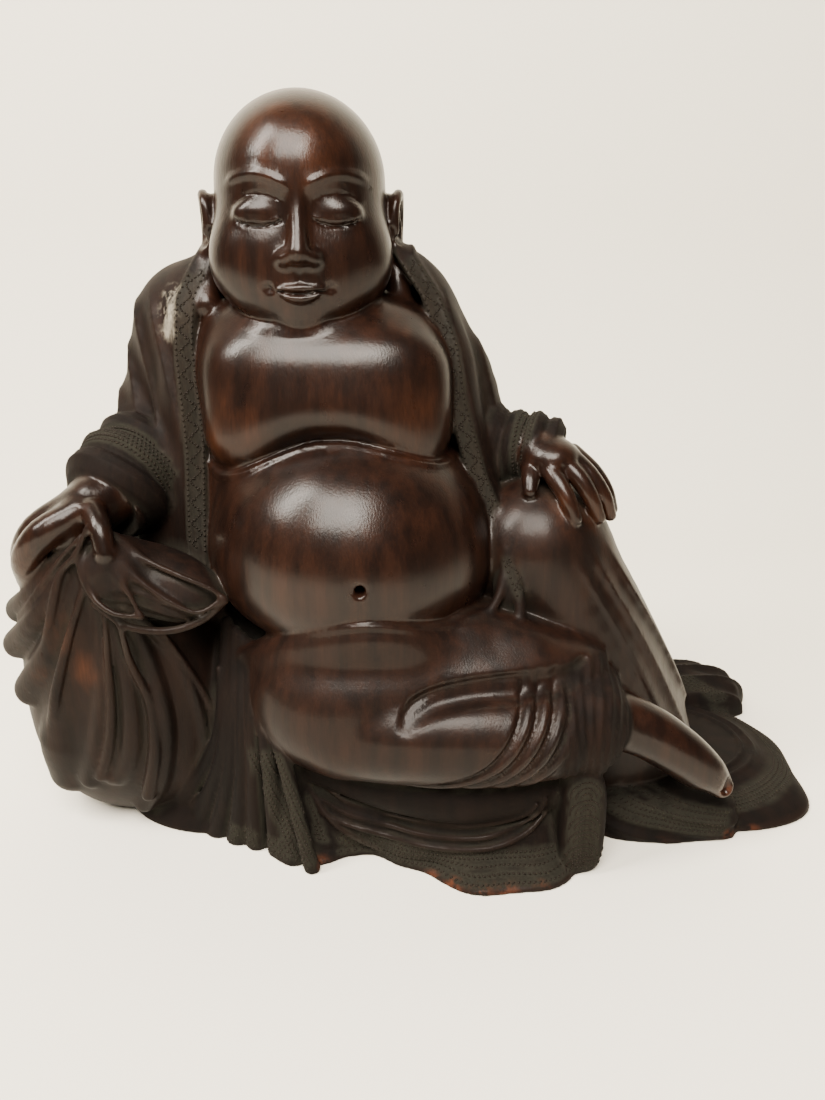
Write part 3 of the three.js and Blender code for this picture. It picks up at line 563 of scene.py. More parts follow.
def sack():
    """The sack hangs from its tied neck in uneven folds that swing out and end one above another."""
    bag = merge(
        20,
        ball(SACK_HEART, (49, 48, 60), (0, 0, 0), 2.3),
        ball((-130, -30, 92), (30, 28, 26)),
        limb([(*SACK_NECK, 13), (-132, -34, 108, 17)]),
    )
    ridges = [
        limb([(-131, -50, 136, 2.5), (-142, -52, 124, 4), (-153, -48, 111, 5), (-165, -35, 99, 6)]),
        limb([(-130, -53, 134, 2.5), (-139, -56, 118, 4), (-151, -53, 102, 5.2), (-166, -39, 85, 6.6)]),
        limb([(-129, -56, 131, 2.5), (-136, -57, 111, 4.2), (-147, -54, 88, 6), (-161, -43, 66, 8)]),
        limb([(-127, -57, 129, 3), (-131, -57, 104, 5), (-139, -52, 74, 9), (-147, -47, 46, 12.5),
              (-149, -42, 26, 11)]),
        limb([(-126, -58, 127, 2), (-124, -59, 103, 2.6), (-125, -60, 76, 3.4), (-131, -58, 50, 4.4),
              (-138, -53, 28, 5)]),
        limb([(-122, -60, 124, 2.4), (-118, -59, 100, 3), (-115, -60, 73, 3.8), (-117, -59, 48, 4.8),
              (-125, -56, 31, 4.4), (-133, -56, 36, 3)]),
        limb([(-118, -62, 120, 2.4), (-108, -56, 90, 3.4), (-103, -57, 58, 4.4), (-108, -54, 30, 5),
              (-118, -48, 12, 5)]),
        limb([(-112, -62, 112, 2), (-100, -52, 90, 2.2), (-91, -51, 66, 2.4), (-89, -49, 44, 2.4),
              (-94, -45, 22, 2)]),
    ]

    crests = [
        limb([(-124, -59, 143, 1), (-129, -61, 133, 1.3), (-136, -60, 125, 1.6), (-140, -61, 113, 2),
              (-144, -60, 100, 2.2), (-150, -56, 86, 1.8)]),
        limb([(-127, -56, 139, 1), (-137, -57, 129, 1.3), (-150, -55, 112, 1.8), (-160, -46, 100, 2.2)]),
        limb([(-126, -61, 122, 1.1), (-132, -63, 107, 1.5), (-138, -63, 91, 1.9), (-145, -61, 71, 2.4),
              (-150, -55, 54, 2.8)]),
        limb([(-120, -62, 112, 1), (-121, -63, 90, 1.4), (-122, -63, 68, 1.9), (-126, -61, 47, 2.4),
              (-132, -58, 32, 2.6)]),
        limb([(-113, -67, 106, 1.1), (-112, -63, 88, 1.6), (-107, -60, 68, 2.2), (-107, -61, 46, 2.8),
              (-113, -57, 22, 3.2)]),
        limb([(-101, -54, 98, 1), (-92, -51, 78, 1.3), (-86, -49, 62, 1.5), (-84, -47, 44, 1.2)]),
    ]

    def lift(x, y, z):
        turn = np.arctan2(y - SACK_NECK[1] - 14, x - SACK_NECK[0] - 8)
        down = SACK_NECK[2] - z
        swing = turn * 13 / (2 * pi) + down / 80 + 0.25 * np.sin(down / 19)
        pick = (np.floor(swing) * 0.618) % 1
        depth = (3.4 + 3 * pick) * ease(160, 60 + 60 * pick, down)
        return depth * (puff(swing) - 0.55) * ease(2, 26, down) * ease(-40, -20, y)

    return merge(1, merge(1.6, relief(bag, 6, lift), *ridges), *crests)


def sack_mouth():
    """The loose mouth of the sack: two scooped leaves that the hand gathers and that flare to points."""
    body = merge(6, ball((-104, -47, 117), (30, 17, 14), (0, 14, -12)), ball((-117, -53, 124), (14, 14, 14)))

    def grooves(x, y, z):
        low = z - 118 + 0.42 * (x + 104) + 0.006 * (x + 100) ** 2
        return 1.1 * (crest(low / 5.2) - 0.5) * ease(-122, -112, x) * ease(-40, -54, y) * ease(8, 2, low)

    first = [
        limb([(-127, -56, 138, 1.5), (-127, -62, 127, 1.4), (-122, -66.6, 118, 1.3),
              (-114, -69.4, 112.6, 1.2), (-104, -68.4, 110.6, 0.9)], 6),
        limb([(-122, -57, 138, 1.4), (-115, -62.6, 129, 1.2), (-109, -66.4, 121, 1.1),
              (-104, -68.4, 111, 0.9)], 6),
    ]
    second = [
        limb([(-118, -58, 136, 1.2), (-106, -63.4, 125, 1.1), (-94, -65.2, 116, 1), (-83, -65, 111, 1),
              (-74, -62, 115, 0.8)], 6),
        limb([(-116, -52, 138, 1.4), (-104, -58.6, 131, 1.3), (-90, -61.4, 125, 1.2),
              (-79, -61.6, 120, 1.1), (-73, -61, 115, 1)], 6),
        limb([(-123, -63, 113.4, 1.5), (-110, -65.6, 105.2, 1.6), (-95, -63.4, 102.4, 1.6),
              (-82, -62, 106.4, 1.5), (-73, -61, 114, 1.2)], 6),
    ]
    scoops = [
        ball((-116, -73, 124), (5, 7, 14), (0, 40, 0)),
        ball((-92, -70, 120), (19, 7, 5), (0, 24, 0)),
    ]
    return merge(2.4, carve(3, relief(body, 2, grooves), *scoops), *first, *second)


def cascade():
    """Fluted cloth falling between the sack and the folded knee, and the flat panel beside it."""
    panel = ball((-49, -60, 22), (9, 14, 42), (-6, -12, -38), 3)
    flutes = [
        limb([(-77, -42, 96, 2.6), (-78, -53, 70, 3), (-82, -54, 46, 3.6), (-98, -46, 16, 4.6),
              (-110, -38, -2, 6)]),
        limb([(-76, -44, 94, 2.4), (-76, -56, 66, 3), (-79, -58, 42, 3.6), (-89, -52, 14, 4.6),
              (-97, -46, -2, 6)]),
        limb([(-73, -46, 94, 2.4), (-73, -58, 66, 3), (-75, -61, 40, 3.4), (-81, -57, 14, 4.4),
              (-86, -53, -2, 5.6)]),
        limb([(-70, -48, 92, 2.4), (-69, -61, 64, 3), (-70, -64, 38, 3.4), (-73, -62, 14, 4.4),
              (-76, -58, -2, 5.6)]),
        limb([(-67, -50, 90, 2.4), (-65, -64, 64, 2.8), (-65, -67, 38, 3.2), (-66, -65, 14, 4.2),
              (-67, -62, -2, 5)]),
        limb([(-64, -52, 88, 2.4), (-60, -67, 64, 2.8), (-58, -71, 40, 3.2), (-57, -70, 14, 4),
              (-57, -67, -2, 4.6)]),
        limb([(-62, -54, 84, 2.4), (-54, -71, 60, 3), (-49, -76, 38, 3), (-44, -79, 14, 3),
              (-41, -79, -2, 3.4)]),
        limb([(-80, -52, 80, 1), (-79, -56, 62, 1.4), (-79, -58.6, 50, 1.6), (-82, -58, 36, 1.7),
              (-90, -54, 20, 1.8), (-102, -45, 4, 2)], 6),
    ]
    ground = merge(
        4,
        ball((-88, -16, 0), (46, 40, 20)),
        limb([(-104, -30, 0, 9), (-84, -43, 0, 10), (-64, -52, 0, 11), (-46, -62, 0, 12)]),
    )
    return merge(1.2, merge(4, ball((-70, -24, 36), (28, 32, 62)), ground, panel), *flutes)


def skirt():
    """The cloth on the ground: under the calf a smooth swag, thin folds that hang below it and a broad
    hem; a pillowed fold under the foot, a flat lobe at the side and folded ends behind it."""
    wall = merge(
        8,
        ball((28, -34, 3), (53, 48.5, 31), (0, 0, 0), 2.6),
        ball((-30, -34, 0), (42, 38, 32)),
        limb([(-64, -46, 60, 8), (-54, -51, 36, 9), (-40, -58, 22, 10), (-16, -62, 18, 10)], 6),
    )
    swag = limb([(-40, -62, 38, 6), (-8, -70, 34, 9.5), (22, -74, 33, 11), (52, -68, 34, 10),
                 (64, -62, 34, 9)], 8)
    flare = merge(5, ball((36, -60, -3), (42, 36, 15)), ball((-38, -60, -2), (13, 17, 9)))

    def hem(x, y, z):
        turn = np.arctan2(y + 10, x - 24) * 75
        waves = 0.9 * np.sin(turn / 5 + 0.4 * np.sin(z / 7)) * ease(16, 4, z)
        return (waves - 0.8 * bump(z, 4.6, 1.3)) * ease(-50, -62, y)

    sheet = relief(merge(3, wall, swag, flare), 2, hem)
    hanging = [laid(sheet, stations, 0.9) for stations in (
        [(-36, 31, 0.8), (-26, 26, 1.1), (-10, 22.4, 1.3), (4, 21.6, 1.4), (19, 21.4, 1.4), (29, 22.2, 1.4),
         (41, 25, 1.3), (47, 29, 1.1), (50, 33, 0.8)],
        [(-38, 27, 0.8), (-26, 21.6, 1.1), (-10, 18, 1.3), (4, 17.2, 1.3), (19, 17, 1.3), (31, 18, 1.3),
         (43, 21.4, 1.3), (51, 27, 1.1), (54, 35, 0.8)],
        [(-39, 22, 0.8), (-26, 17, 1.1), (-10, 13.4, 1.3), (4, 12.8, 1.3), (18, 12.6, 1.4), (33, 13.8, 1.4),
         (46, 18.4, 1.3), (55, 26, 1.1), (58, 37, 0.8)],
        [(-50, 46, 0.9), (-43, 31, 1.2), (-35, 20, 1.3), (-27, 12.6, 1.3), (-19, 7, 1.1), (-13, 4, 0.8)],
    )]
    strip = ball((68, -72, 22), (10, 12, 26), (0, 0, 14), 3.2)
    pillow = merge(
        5,
        ball((110, -34, 0), (34, 28, 19), (0, 0, 5), 3),
        ball((124, -44, 0), (18, 17, 18), (0, 0, 3), 4),
    )

    def creases(x, y, z):
        return 1.4 * (crest((z + 0.22 * (x - 84)) / 6.5) - 0.5) * ease(20, 15, z) * ease(-40, -54, y)

    def lobe_lines(x, y, z):
        out = ring(x, y, *LOBE_MIDDLE, *LOBE_SIZE)
        wave = 0.8 * np.sin(np.arctan2(y, x - 126) * 9) * ease(0.86, 1, out)
        return 1.4 * (bump(out, 0.56, 0.035) + bump(out, 0.655, 0.035)) + wave - 0.8 * ease(0.7, 0.74, out)

    def layers(x, y, z):
        return 3 * (crest((y - 0.25 * x) / 13) - 0.5)

    apron = merge(0.8, merge(1.4, sheet, strip), *hanging)
    flat = merge(
        6,
        ball((*LOBE_MIDDLE, -4), (*LOBE_SIZE, 17), (0, 0, 0), 2.4),
        ball((148, -22, -4), (36.6, 33, 14), (0, 0, 0), 2.6),
    )
    lobe = relief(flat, 3, lobe_lines)
    ends = merge(
        2,
        relief(ball((128, 52, 0), (54, 25, 20), (0, 0, 14), 3), 3, layers),
        limb([(118, 68, 14, 6), (150, 59, 12.5, 6), (171, 53, 10, 5.6)]),
    )
    return merge(2.4, apron, relief(pillow, 2, creases), lobe, ends)


def folded_corner():
    """The robe's lower corner, folded over beside the belly."""
    return merge(
        1,
        limb([(38, -42, 128, 1.6), (41, -46, 118, 2.2), (43, -50, 109, 2.4), (43, -54, 101, 2)]),
        limb([(38, -42, 126, 1.4), (36, -48, 114, 2), (31, -53, 106, 2), (24, -56, 104, 1.4)]),
        ball((39, -44, 110), (6, 6, 11), (0, -10, 0)),
    )


SKIN = merge(2, placed(HEAD, HEAD_YAW, head()), neck(), torso(), hand_on_knee(), hand_on_sack(), foot())
LEGS = merge(2, raised_leg(), trousers())
BAG = merge(2, sack(), sack_mouth())
ROBE = merge(2, robe(), folded_corner())
HEMS = merge(2, sleeves(), cascade(), skirt())
FIGURE = merge(2, SKIN, LEGS, BAG, ROBE, HEMS)


class Grid:
    """The field sampled on a lattice. Blocks far from the surface hold only their side of it."""

    def __init__(self, form):
        low = np.array(FIELD_LOW, float)
        blocks = np.ceil((np.array(FIELD_HIGH) - low) / (BLOCK * CELL)).astype(int)
        self.low = low + CELL * 0.37
        patch = Patch(*np.ix_(*[
            (self.low[i] + BLOCK * CELL / 2 * np.arange(2 * blocks[i] + 1)).astype(np.float32) for i in range(3)
        ]))
        coarse = np.maximum(form.d(patch), -patch.z)
        self.values = np.empty(blocks * BLOCK, np.float32)

        def fill(block):
            i, j, k = block
            corner = coarse[2 * i:2 * i + 3, 2 * j:2 * j + 3, 2 * k:2 * k + 3]
            place = tuple(slice(n * BLOCK, n * BLOCK + BLOCK) for n in block)
            if np.min(np.abs(corner)) > SURE:
                self.values[place] = CLIP if corner[1, 1, 1] > 0 else -CLIP
                return
            axes = [
                (self.low[n] + CELL * np.arange(block[n] * BLOCK, (block[n] + 1) * BLOCK)).astype(np.float32)
                for n in range(3)
            ]
            patch = Patch(*np.ix_(*axes))
            self.values[place] = np.clip(np.maximum(form.d(patch), -patch.z), -CLIP, CLIP)

        with ThreadPoolExecutor(4) as pool:
            list(pool.map(fill, np.ndindex(*blocks)))

    def at(self, points):
        """Distances at points, by trilinear interpolation."""
        place = (points - self.low) / CELL
        start = np.clip(np.floor(place).astype(int), 0, np.array(self.values.shape) - 2)
        t = np.clip(place - start, 0, 1)
        total = 0
        for corner in np.ndindex(2, 2, 2):
            weight = np.prod([t[:, n] if corner[n] else 1 - t[:, n] for n in range(3)], axis=0)
            i, j, k = (start + corner).T
            total = total + weight * self.values[i, j, k]
        return total

    def mesh(self):
        """The surface as points in millimetres and triangles."""
        grid = openvdb.FloatGrid(CLIP)
        grid.copyFromArray(self.values)
        points, triangles, quads = grid.convertToPolygons(isovalue=0.0, adaptivity=0.0)
        faces = np.vstack([triangles.reshape(-1, 3), quads[:, [0, 1, 2]], quads[:, [0, 2, 3]]])
        return points * CELL + self.low, faces


def outer_skin(points, faces):
    """Keeps the largest surface and drops closed pockets left between forms."""
    label = np.arange(len(points))
    while True:
        least = label.copy()
        for a, b in ((0, 1), (1, 2), (2, 0)):
            np.minimum.at(least, faces[:, a], label[faces[:, b]])
            np.minimum.at(least, faces[:, b], label[faces[:, a]])
        least = least[least]
        if np.array_equal(least, label):
            break
        label = least
    names, counts = np.unique(label[faces[:, 0]], return_counts=True)
    kept = faces[label[faces[:, 0]] == names[np.argmax(counts)]]
    used, faces = np.unique(kept, return_inverse=True)
    return points[used], faces.reshape(-1, 3)


def mesh_object(name, points, faces):
    mesh = bpy.data.meshes.new(name)
    mesh.vertices.add(len(points))
    mesh.vertices.foreach_set("co", points.astype(np.float32).ravel())
    mesh.loops.add(faces.size)
    mesh.loops.foreach_set("vertex_index", faces.astype(np.int32).ravel())
    mesh.polygons.add(len(faces))
    mesh.polygons.foreach_set("loop_start", np.arange(0, faces.size, 3, dtype=np.int32))
    mesh.update(calc_edges=True)
    mesh.validate()
    piece = bpy.data.objects.new(name, mesh)
    bpy.context.scene.collection.objects.link(piece)
    return piece


def applied(piece):
    """The piece with its modifiers made real."""
    graph = bpy.context.evaluated_depsgraph_get()
    mesh = bpy.data.meshes.new_from_object(piece.evaluated_get(graph))
    old = piece.data
    piece.modifiers.clear()
    piece.data = mesh
    mesh.name = piece.name
    bpy.data.meshes.remove(old)
    return piece


def coordinates(mesh):
    points = np.empty(len(mesh.vertices) * 3, np.float32)
    mesh.vertices.foreach_get("co", points)
    return points.reshape(-1, 3)


def distances(form, points):
    """Distances at scattered points, in chunks of near neighbours."""
    result = np.empty(len(points), np.float32)
    cell = np.floor(points / 24).astype(int)
    order = np.lexsort(cell.T)
    edges = np.flatnonzero(np.any(np.diff(cell[order], axis=0), axis=1)) + 1

    def work(chunk):
        x, y, z = points[chunk].astype(np.float32).T
        result[chunk] = form.d(Patch(x, y, z))

    with ThreadPoolExecutor(4) as pool:
        list(pool.map(work, np.split(order, edges)))
    return result


def spots(points, places):
    """How strongly points lie in soft round spots of [x, y, z, radius, strength]."""
    total = np.zeros(len(points))
    for x, y, z, radius, strength in places:
        gap = np.linalg.norm(points - (x, y, z), axis=1)
        total = np.maximum(total, strength * ease(radius, radius * 0.3, gap))
    return total


WORN_SPOTS = (
    (-44, -34, 286, 30, 0.8), (-44, 4, 300, 38, 0.5), (-72, -44, 176, 22, 0.6), (2, -44, 180, 24, 0.4),
    (64, -38, 144, 14, 0.7), (76, -34, 142, 12, 0.6), (-150, -52, 128, 16, 0.5), (-140, -60, 100, 12, 0.9),
    (-130, -61, 84, 10, 1), (-150, -58, 78, 9, 1), (130, -64, 31, 6, 1), (-96, -10, 212, 14, 0.4),
)
BARE_SPOTS = (
    (-39, -77, 1, 6, 0.8), (8, -84, 0, 5, 0.7), (16, -90, 0, 6, 1), (27, -94, 0, 6, 0.9),
    (38, -95, 0, 7, 1), (52, -90, 0, 5, 0.7), (131, -65, 29, 4.5, 1), (138, -60, 2, 5, 0.8),
    (150, -55, 1, 4, 0.7), (108, -60, 1, 4, 0.5),
)
CHALKY_SPOTS = (
    (-97, -12, 226, 7, 1), (-97, -15, 218, 7, 1), (-97, -17, 211, 5, 0.8),
)


STROKE = (0.95, 0.42, 0.42)  # how a grain is stretched along the stroke, across it and outwards
BEAD = (0.6, 0.6, 0.5)
FORWARD = (0, 1, 0)


def hatching(at, long, wide):
    """Rows of short strokes slanted one way, then the other; at(u, v) gives a ray's start, its way and
    the run of the border there."""
    for i in range(round(long / STROKE_PITCH)):
        for j in range(round(wide / STROKE_PITCH)):
            start, way, run = at((i + 0.5 * (j % 2)) * STROKE_PITCH, (j + 0.5) * STROKE_PITCH)
            rise = Vector(way).cross(run).normalized()
            yield start, way, Vector(run) + (0.9 if j % 2 else -0.9) * rise, STROKE


def lapel_marks(edge, side, low, high):
    """A row of beads along each rim of a lapel and a scroll between them."""

    def ray(z, gap):
        return (float(along(edge, z)) + side * gap, -120, z), FORWARD

    for z in np.arange(low, high, 2.1):
        for gap in (1.5, ROBE_BORDER - 1.3):
            yield *ray(z, gap), (0, 0, 1), BEAD
    for z in np.arange(low, high, 0.8):
        angle = 2 * pi * z / 8.4
        yield *ray(z, 4.6 + 1.9 * sin(angle)), (side * 1.42 * cos(angle), 0, 1), (0.7, 0.4, 0.45)
    for n, z in enumerate(np.arange(low, high, 4.2)):
        yield *ray(z, 4.6 - 0.9 * (-1) ** n * sin(2 * pi * low / 8.4 + pi / 2)), (0, 0, 1), BEAD


def cuff_marks(end, axis, radius, wide):
    """Hatching round the end of a sleeve."""
    axis = Vector(axis).normalized()
    side = axis.cross((0, 0, 1)).normalized()
    up = side.cross(axis)

    def at(u, v):
        out = side * cos(u / radius) + up * sin(u / radius)
        return Vector(end) - axis * v + out * (radius + 25), -out, axis.cross(out)

    return hatching(at, 2 * pi * radius, wide)


def hem_marks(middle, radius, start, finish, low, wide):
    """Hatching round a hem, from one bearing in degrees to another."""

    def at(u, v):
        bearing = radians(start) + u / radius
        out = Vector((cos(bearing), sin(bearing), 0))
        return Vector((*middle, low + v)) + out * 170, -out, (-sin(bearing), cos(bearing), 0)

    return hatching(at, radius * radians(finish - start), wide)


def lobe_marks():
    """Hatching on the rim of the flat lobe."""

    def at(u, v):
        bearing = radians(-80) + u / LOBE_SIZE[1]
        share = 0.97 - v / LOBE_SIZE[1]
        start = (LOBE_MIDDLE[0] + LOBE_SIZE[0] * share * cos(bearing),
                 LOBE_MIDDLE[1] + LOBE_SIZE[1] * share * sin(bearing), 60)
        return start, (0, 0, -1), (-sin(bearing), cos(bearing), 0)

    return hatching(at, LOBE_SIZE[1] * radians(150), 9)


def leaning_marks(top, foot, wide):
    """Hatching on a flat strip of cloth seen from the front, from its top to its foot."""
    run = (Vector(foot) - Vector(top)).normalized()
    across = Vector((-run.z, 0, run.x))

    def at(u, v):
        return Vector((0, -120, 0)) + Vector(top) + run * u + across * (v - wide / 2), FORWARD, run

    return hatching(at, (Vector(foot) - Vector(top)).length, wide)


def scale_marks(middle, low, high):
    """Concentric arcs, one set above another, on a strip seen from the front."""
    for base in np.arange(low, high, 6.8):
        for radius in (2.2, 4.2, 6.2):
            for angle in np.arange(0.2, pi, 1.3 / radius):
                x = middle + radius * cos(angle)
                yield (x, -120, base + radius * sin(angle)), FORWARD, (-sin(angle), 0, cos(angle)), STROKE


def border_marks(points, faces):
    """Places, turns and sizes of the grains of every carved border, found by casting rays at the figure."""
    surface = BVHTree.FromPolygons(points.tolist(), faces.tolist())
    borders = [
        (ROBE, lapel_marks(EDGE_LEFT, -1, 104, 234)),
        (ROBE, lapel_marks(EDGE_RIGHT, 1, 112, 238)),
        (HEMS, cuff_marks((-120, -22, 150), (-7, -14, -7), 22, 11)),
        (HEMS, cuff_marks((53, -9, 161), (13, -5, 0), 15, 8)),
        (HEMS, hem_marks((24, -10), 74, 208, 312, 2.5, 9)),
        (ROBE, hem_marks(SKIRT_MIDDLE, 92, 20, 168, 2.5, 9)),
        (HEMS, lobe_marks()),
        (HEMS, leaning_marks((-60, 0, 52), (-43, 0, 6), 15)),
        (HEMS, leaning_marks((84, 0, 18), (136, 0, 9), 12)),
        (HEMS, scale_marks(69, 4, 42)),
    ]
    places, turns, sizes = [], [], []
    for form, rays in borders:
        for start, way, run, size in rays:
            place, normal = surface.ray_cast(Vector(start), Vector(way))[:2]
            if place is None or abs(distances(form, np.array([place]))[0]) > 0.8:
                continue
            across = normal.cross(Vector(run)).normalized()
            turn = Matrix((across.cross(normal), across, normal)).transposed().to_euler()
            places.append(place)
            turns.append(turn)
            sizes.append(size)
    return np.array(places), np.array(turns), np.array(sizes)


def carving():
    """The whole figure, as one closed mesh with the attributes that its finish reads, and the marks of
    its carved borders."""
    grid = Grid(FIGURE)
    points, faces = outer_skin(*grid.mesh())
    piece = mesh_object("sage", points, faces)
    thinner = piece.modifiers.new("thinner", "DECIMATE")
    thinner.ratio = min(1.0, TRIANGLES / len(faces))
    applied(piece)
    mesh = piece.data
    points = coordinates(mesh)
    normals = np.empty(len(points) * 3, np.float32)
    mesh.vertices.foreach_get("normal", normals)
    normals = normals.reshape(-1, 3)
    corners = np.empty(len(mesh.loops), np.int32)
    mesh.loops.foreach_get("vertex_index", corners)
    marks = border_marks(points, corners.reshape(-1, 3))
    nearest = KDTree(len(marks[0]))
    for n, place in enumerate(marks[0]):
        nearest.insert(place, n)
    nearest.balance()
    off_border = np.array([nearest.find(point)[2] for point in points])
    kinds = {SKIN: (1, 1), LEGS: (0.8, 0.68), BAG: (0.35, 0.42), ROBE: (0.3, 0.34), HEMS: (0, 0.1)}
    near = np.array([distances(form, points) for form in kinds])
    share = np.exp(-(near - near.min(axis=0)) / 0.4)
    share = share / share.sum(axis=0)
    flesh, polish = np.array(list(kinds.values())).T @ share
    x, y, z = points.T
    cuff = share[1] * ease(53, 60, x) * ease(92, 88, z) * ease(38, 43, z) * ease(-50, -56, y)
    flesh = flesh * (1 - 0.7 * cuff)
    # How far a point stands out on a raised edge; the finish paints these edges lighter, partly as wear and
    # partly as a painted highlight, and waxes them glossier
    edge = 1 - np.clip(-grid.at(points - normals * 2.5) / 2.5, 0, 1)
    polish = np.maximum(polish * (1 - 0.85 * cuff), 0.55 * ease(0.45, 0.95, edge))
    finish = {
        "flesh": flesh,
        "polish": polish,
        "border": ease(2.6, 1.2, off_border),
        "hollow": 1 - np.clip(grid.at(points + normals * 4) / 4, 0, 1),
        "edge": edge,
        "worn": spots(points, WORN_SPOTS),
        "bare": spots(points, BARE_SPOTS),
        "chalky": spots(points, CHALKY_SPOTS),
    }
    for name, values in finish.items():
        mesh.attributes.new(name, "FLOAT", "POINT").data.foreach_set("value", values.astype(np.float32))
    mesh.vertices.foreach_set("co", in_part(points).astype(np.float32).ravel())
    mesh.update()
    mesh.shade_smooth()
    return piece, marks


def in_part(points):
    """Points of the figure's drawing, in millimetres, in the part's frame in metres."""
    return (points - (*BASE_MIDDLE, 0)) / 1000


def grain_tree(material):
    """A small round grain on every point, stretched and turned by the point's size and turn."""
    tree = bpy.data.node_groups.new("carved_grains", "GeometryNodeTree")
    tree.interface.new_socket("Points", in_out="INPUT", socket_type="NodeSocketGeometry")
    radius = tree.interface.new_socket("Grain radius", in_out="INPUT", socket_type="NodeSocketFloat")
    tree.interface.new_socket("Grains", in_out="OUTPUT", socket_type="NodeSocketGeometry")
    given = add(tree, "NodeGroupInput")
    grain = add(tree, "GeometryNodeMeshIcoSphere", {
        "Radius": given.outputs["Grain radius"], "Subdivisions": 1,
    })
    turn, size = [
        add(tree, "GeometryNodeInputNamedAttribute", {"Name": name}, data_type="FLOAT_VECTOR")
        for name in ("turn", "size")
    ]
    many = add(tree, "GeometryNodeInstanceOnPoints", {
        "Points": given.outputs["Points"], "Instance": grain.outputs["Mesh"],
        "Rotation": turn.outputs["Attribute"], "Scale": size.outputs["Attribute"],
    })
    real = add(tree, "GeometryNodeRealizeInstances", {"Geometry": many.outputs["Instances"]})
    finished = add(tree, "GeometryNodeSetMaterial", {
        "Geometry": real.outputs["Geometry"], "Material": material,
    })
    add(tree, "NodeGroupOutput", {"Grains": finished.outputs["Geometry"]})
    return tree, radius.identifier


def carved_borders(marks, material):
    """The beads, scrolls and strokes of the carved borders, as one mesh of small raised grains."""
    places, turns, sizes = marks
    piece = mesh_object("sage_borders", in_part(places), np.empty((0, 3), int))
    for name, values in (("turn", turns), ("size", sizes)):
        layer = piece.data.attributes.new(name, "FLOAT_VECTOR", "POINT")
        layer.data.foreach_set("vector", values.astype(np.float32).ravel())
    tree, radius = grain_tree(material)
    grains = piece.modifiers.new("grains", "NODES")
    grains.node_group = tree
    grains[radius] = GRAIN / 1000
    applied(piece)
    mesh = piece.data
    # The grains take the lighter raised-edge tone, partly wear and partly a painted highlight, with some grey
    # dust and a little wax
    for name, value in (("edge", 0.75), ("border", 0.6), ("polish", 0.4)):
        mesh.attributes.new(name, "FLOAT", "POINT").data.foreach_set("value", [value] * len(mesh.vertices))
    mesh.shade_smooth()
    return piece


def colour(text):
    """An sRGB hex colour as linear red, green, blue and alpha."""
    values = [int(text[i:i + 2], 16) / 255 for i in (1, 3, 5)]
    return (*[v / 12.92 if v <= 0.04045 else ((v + 0.055) / 1.055) ** 2.4 for v in values], 1)


def add(tree, kind, inputs=None, **settings):
    """Adds a node with its settings; an input is a value or the output socket that feeds it."""
    node = tree.nodes.new(kind)
    for name, value in settings.items():
        setattr(node, name, value)
    for name, value in (inputs or {}).items():
        if isinstance(value, bpy.types.NodeSocket):
            tree.links.new(value, node.inputs[name])
        else:
            node.inputs[name].default_value = value
    return node


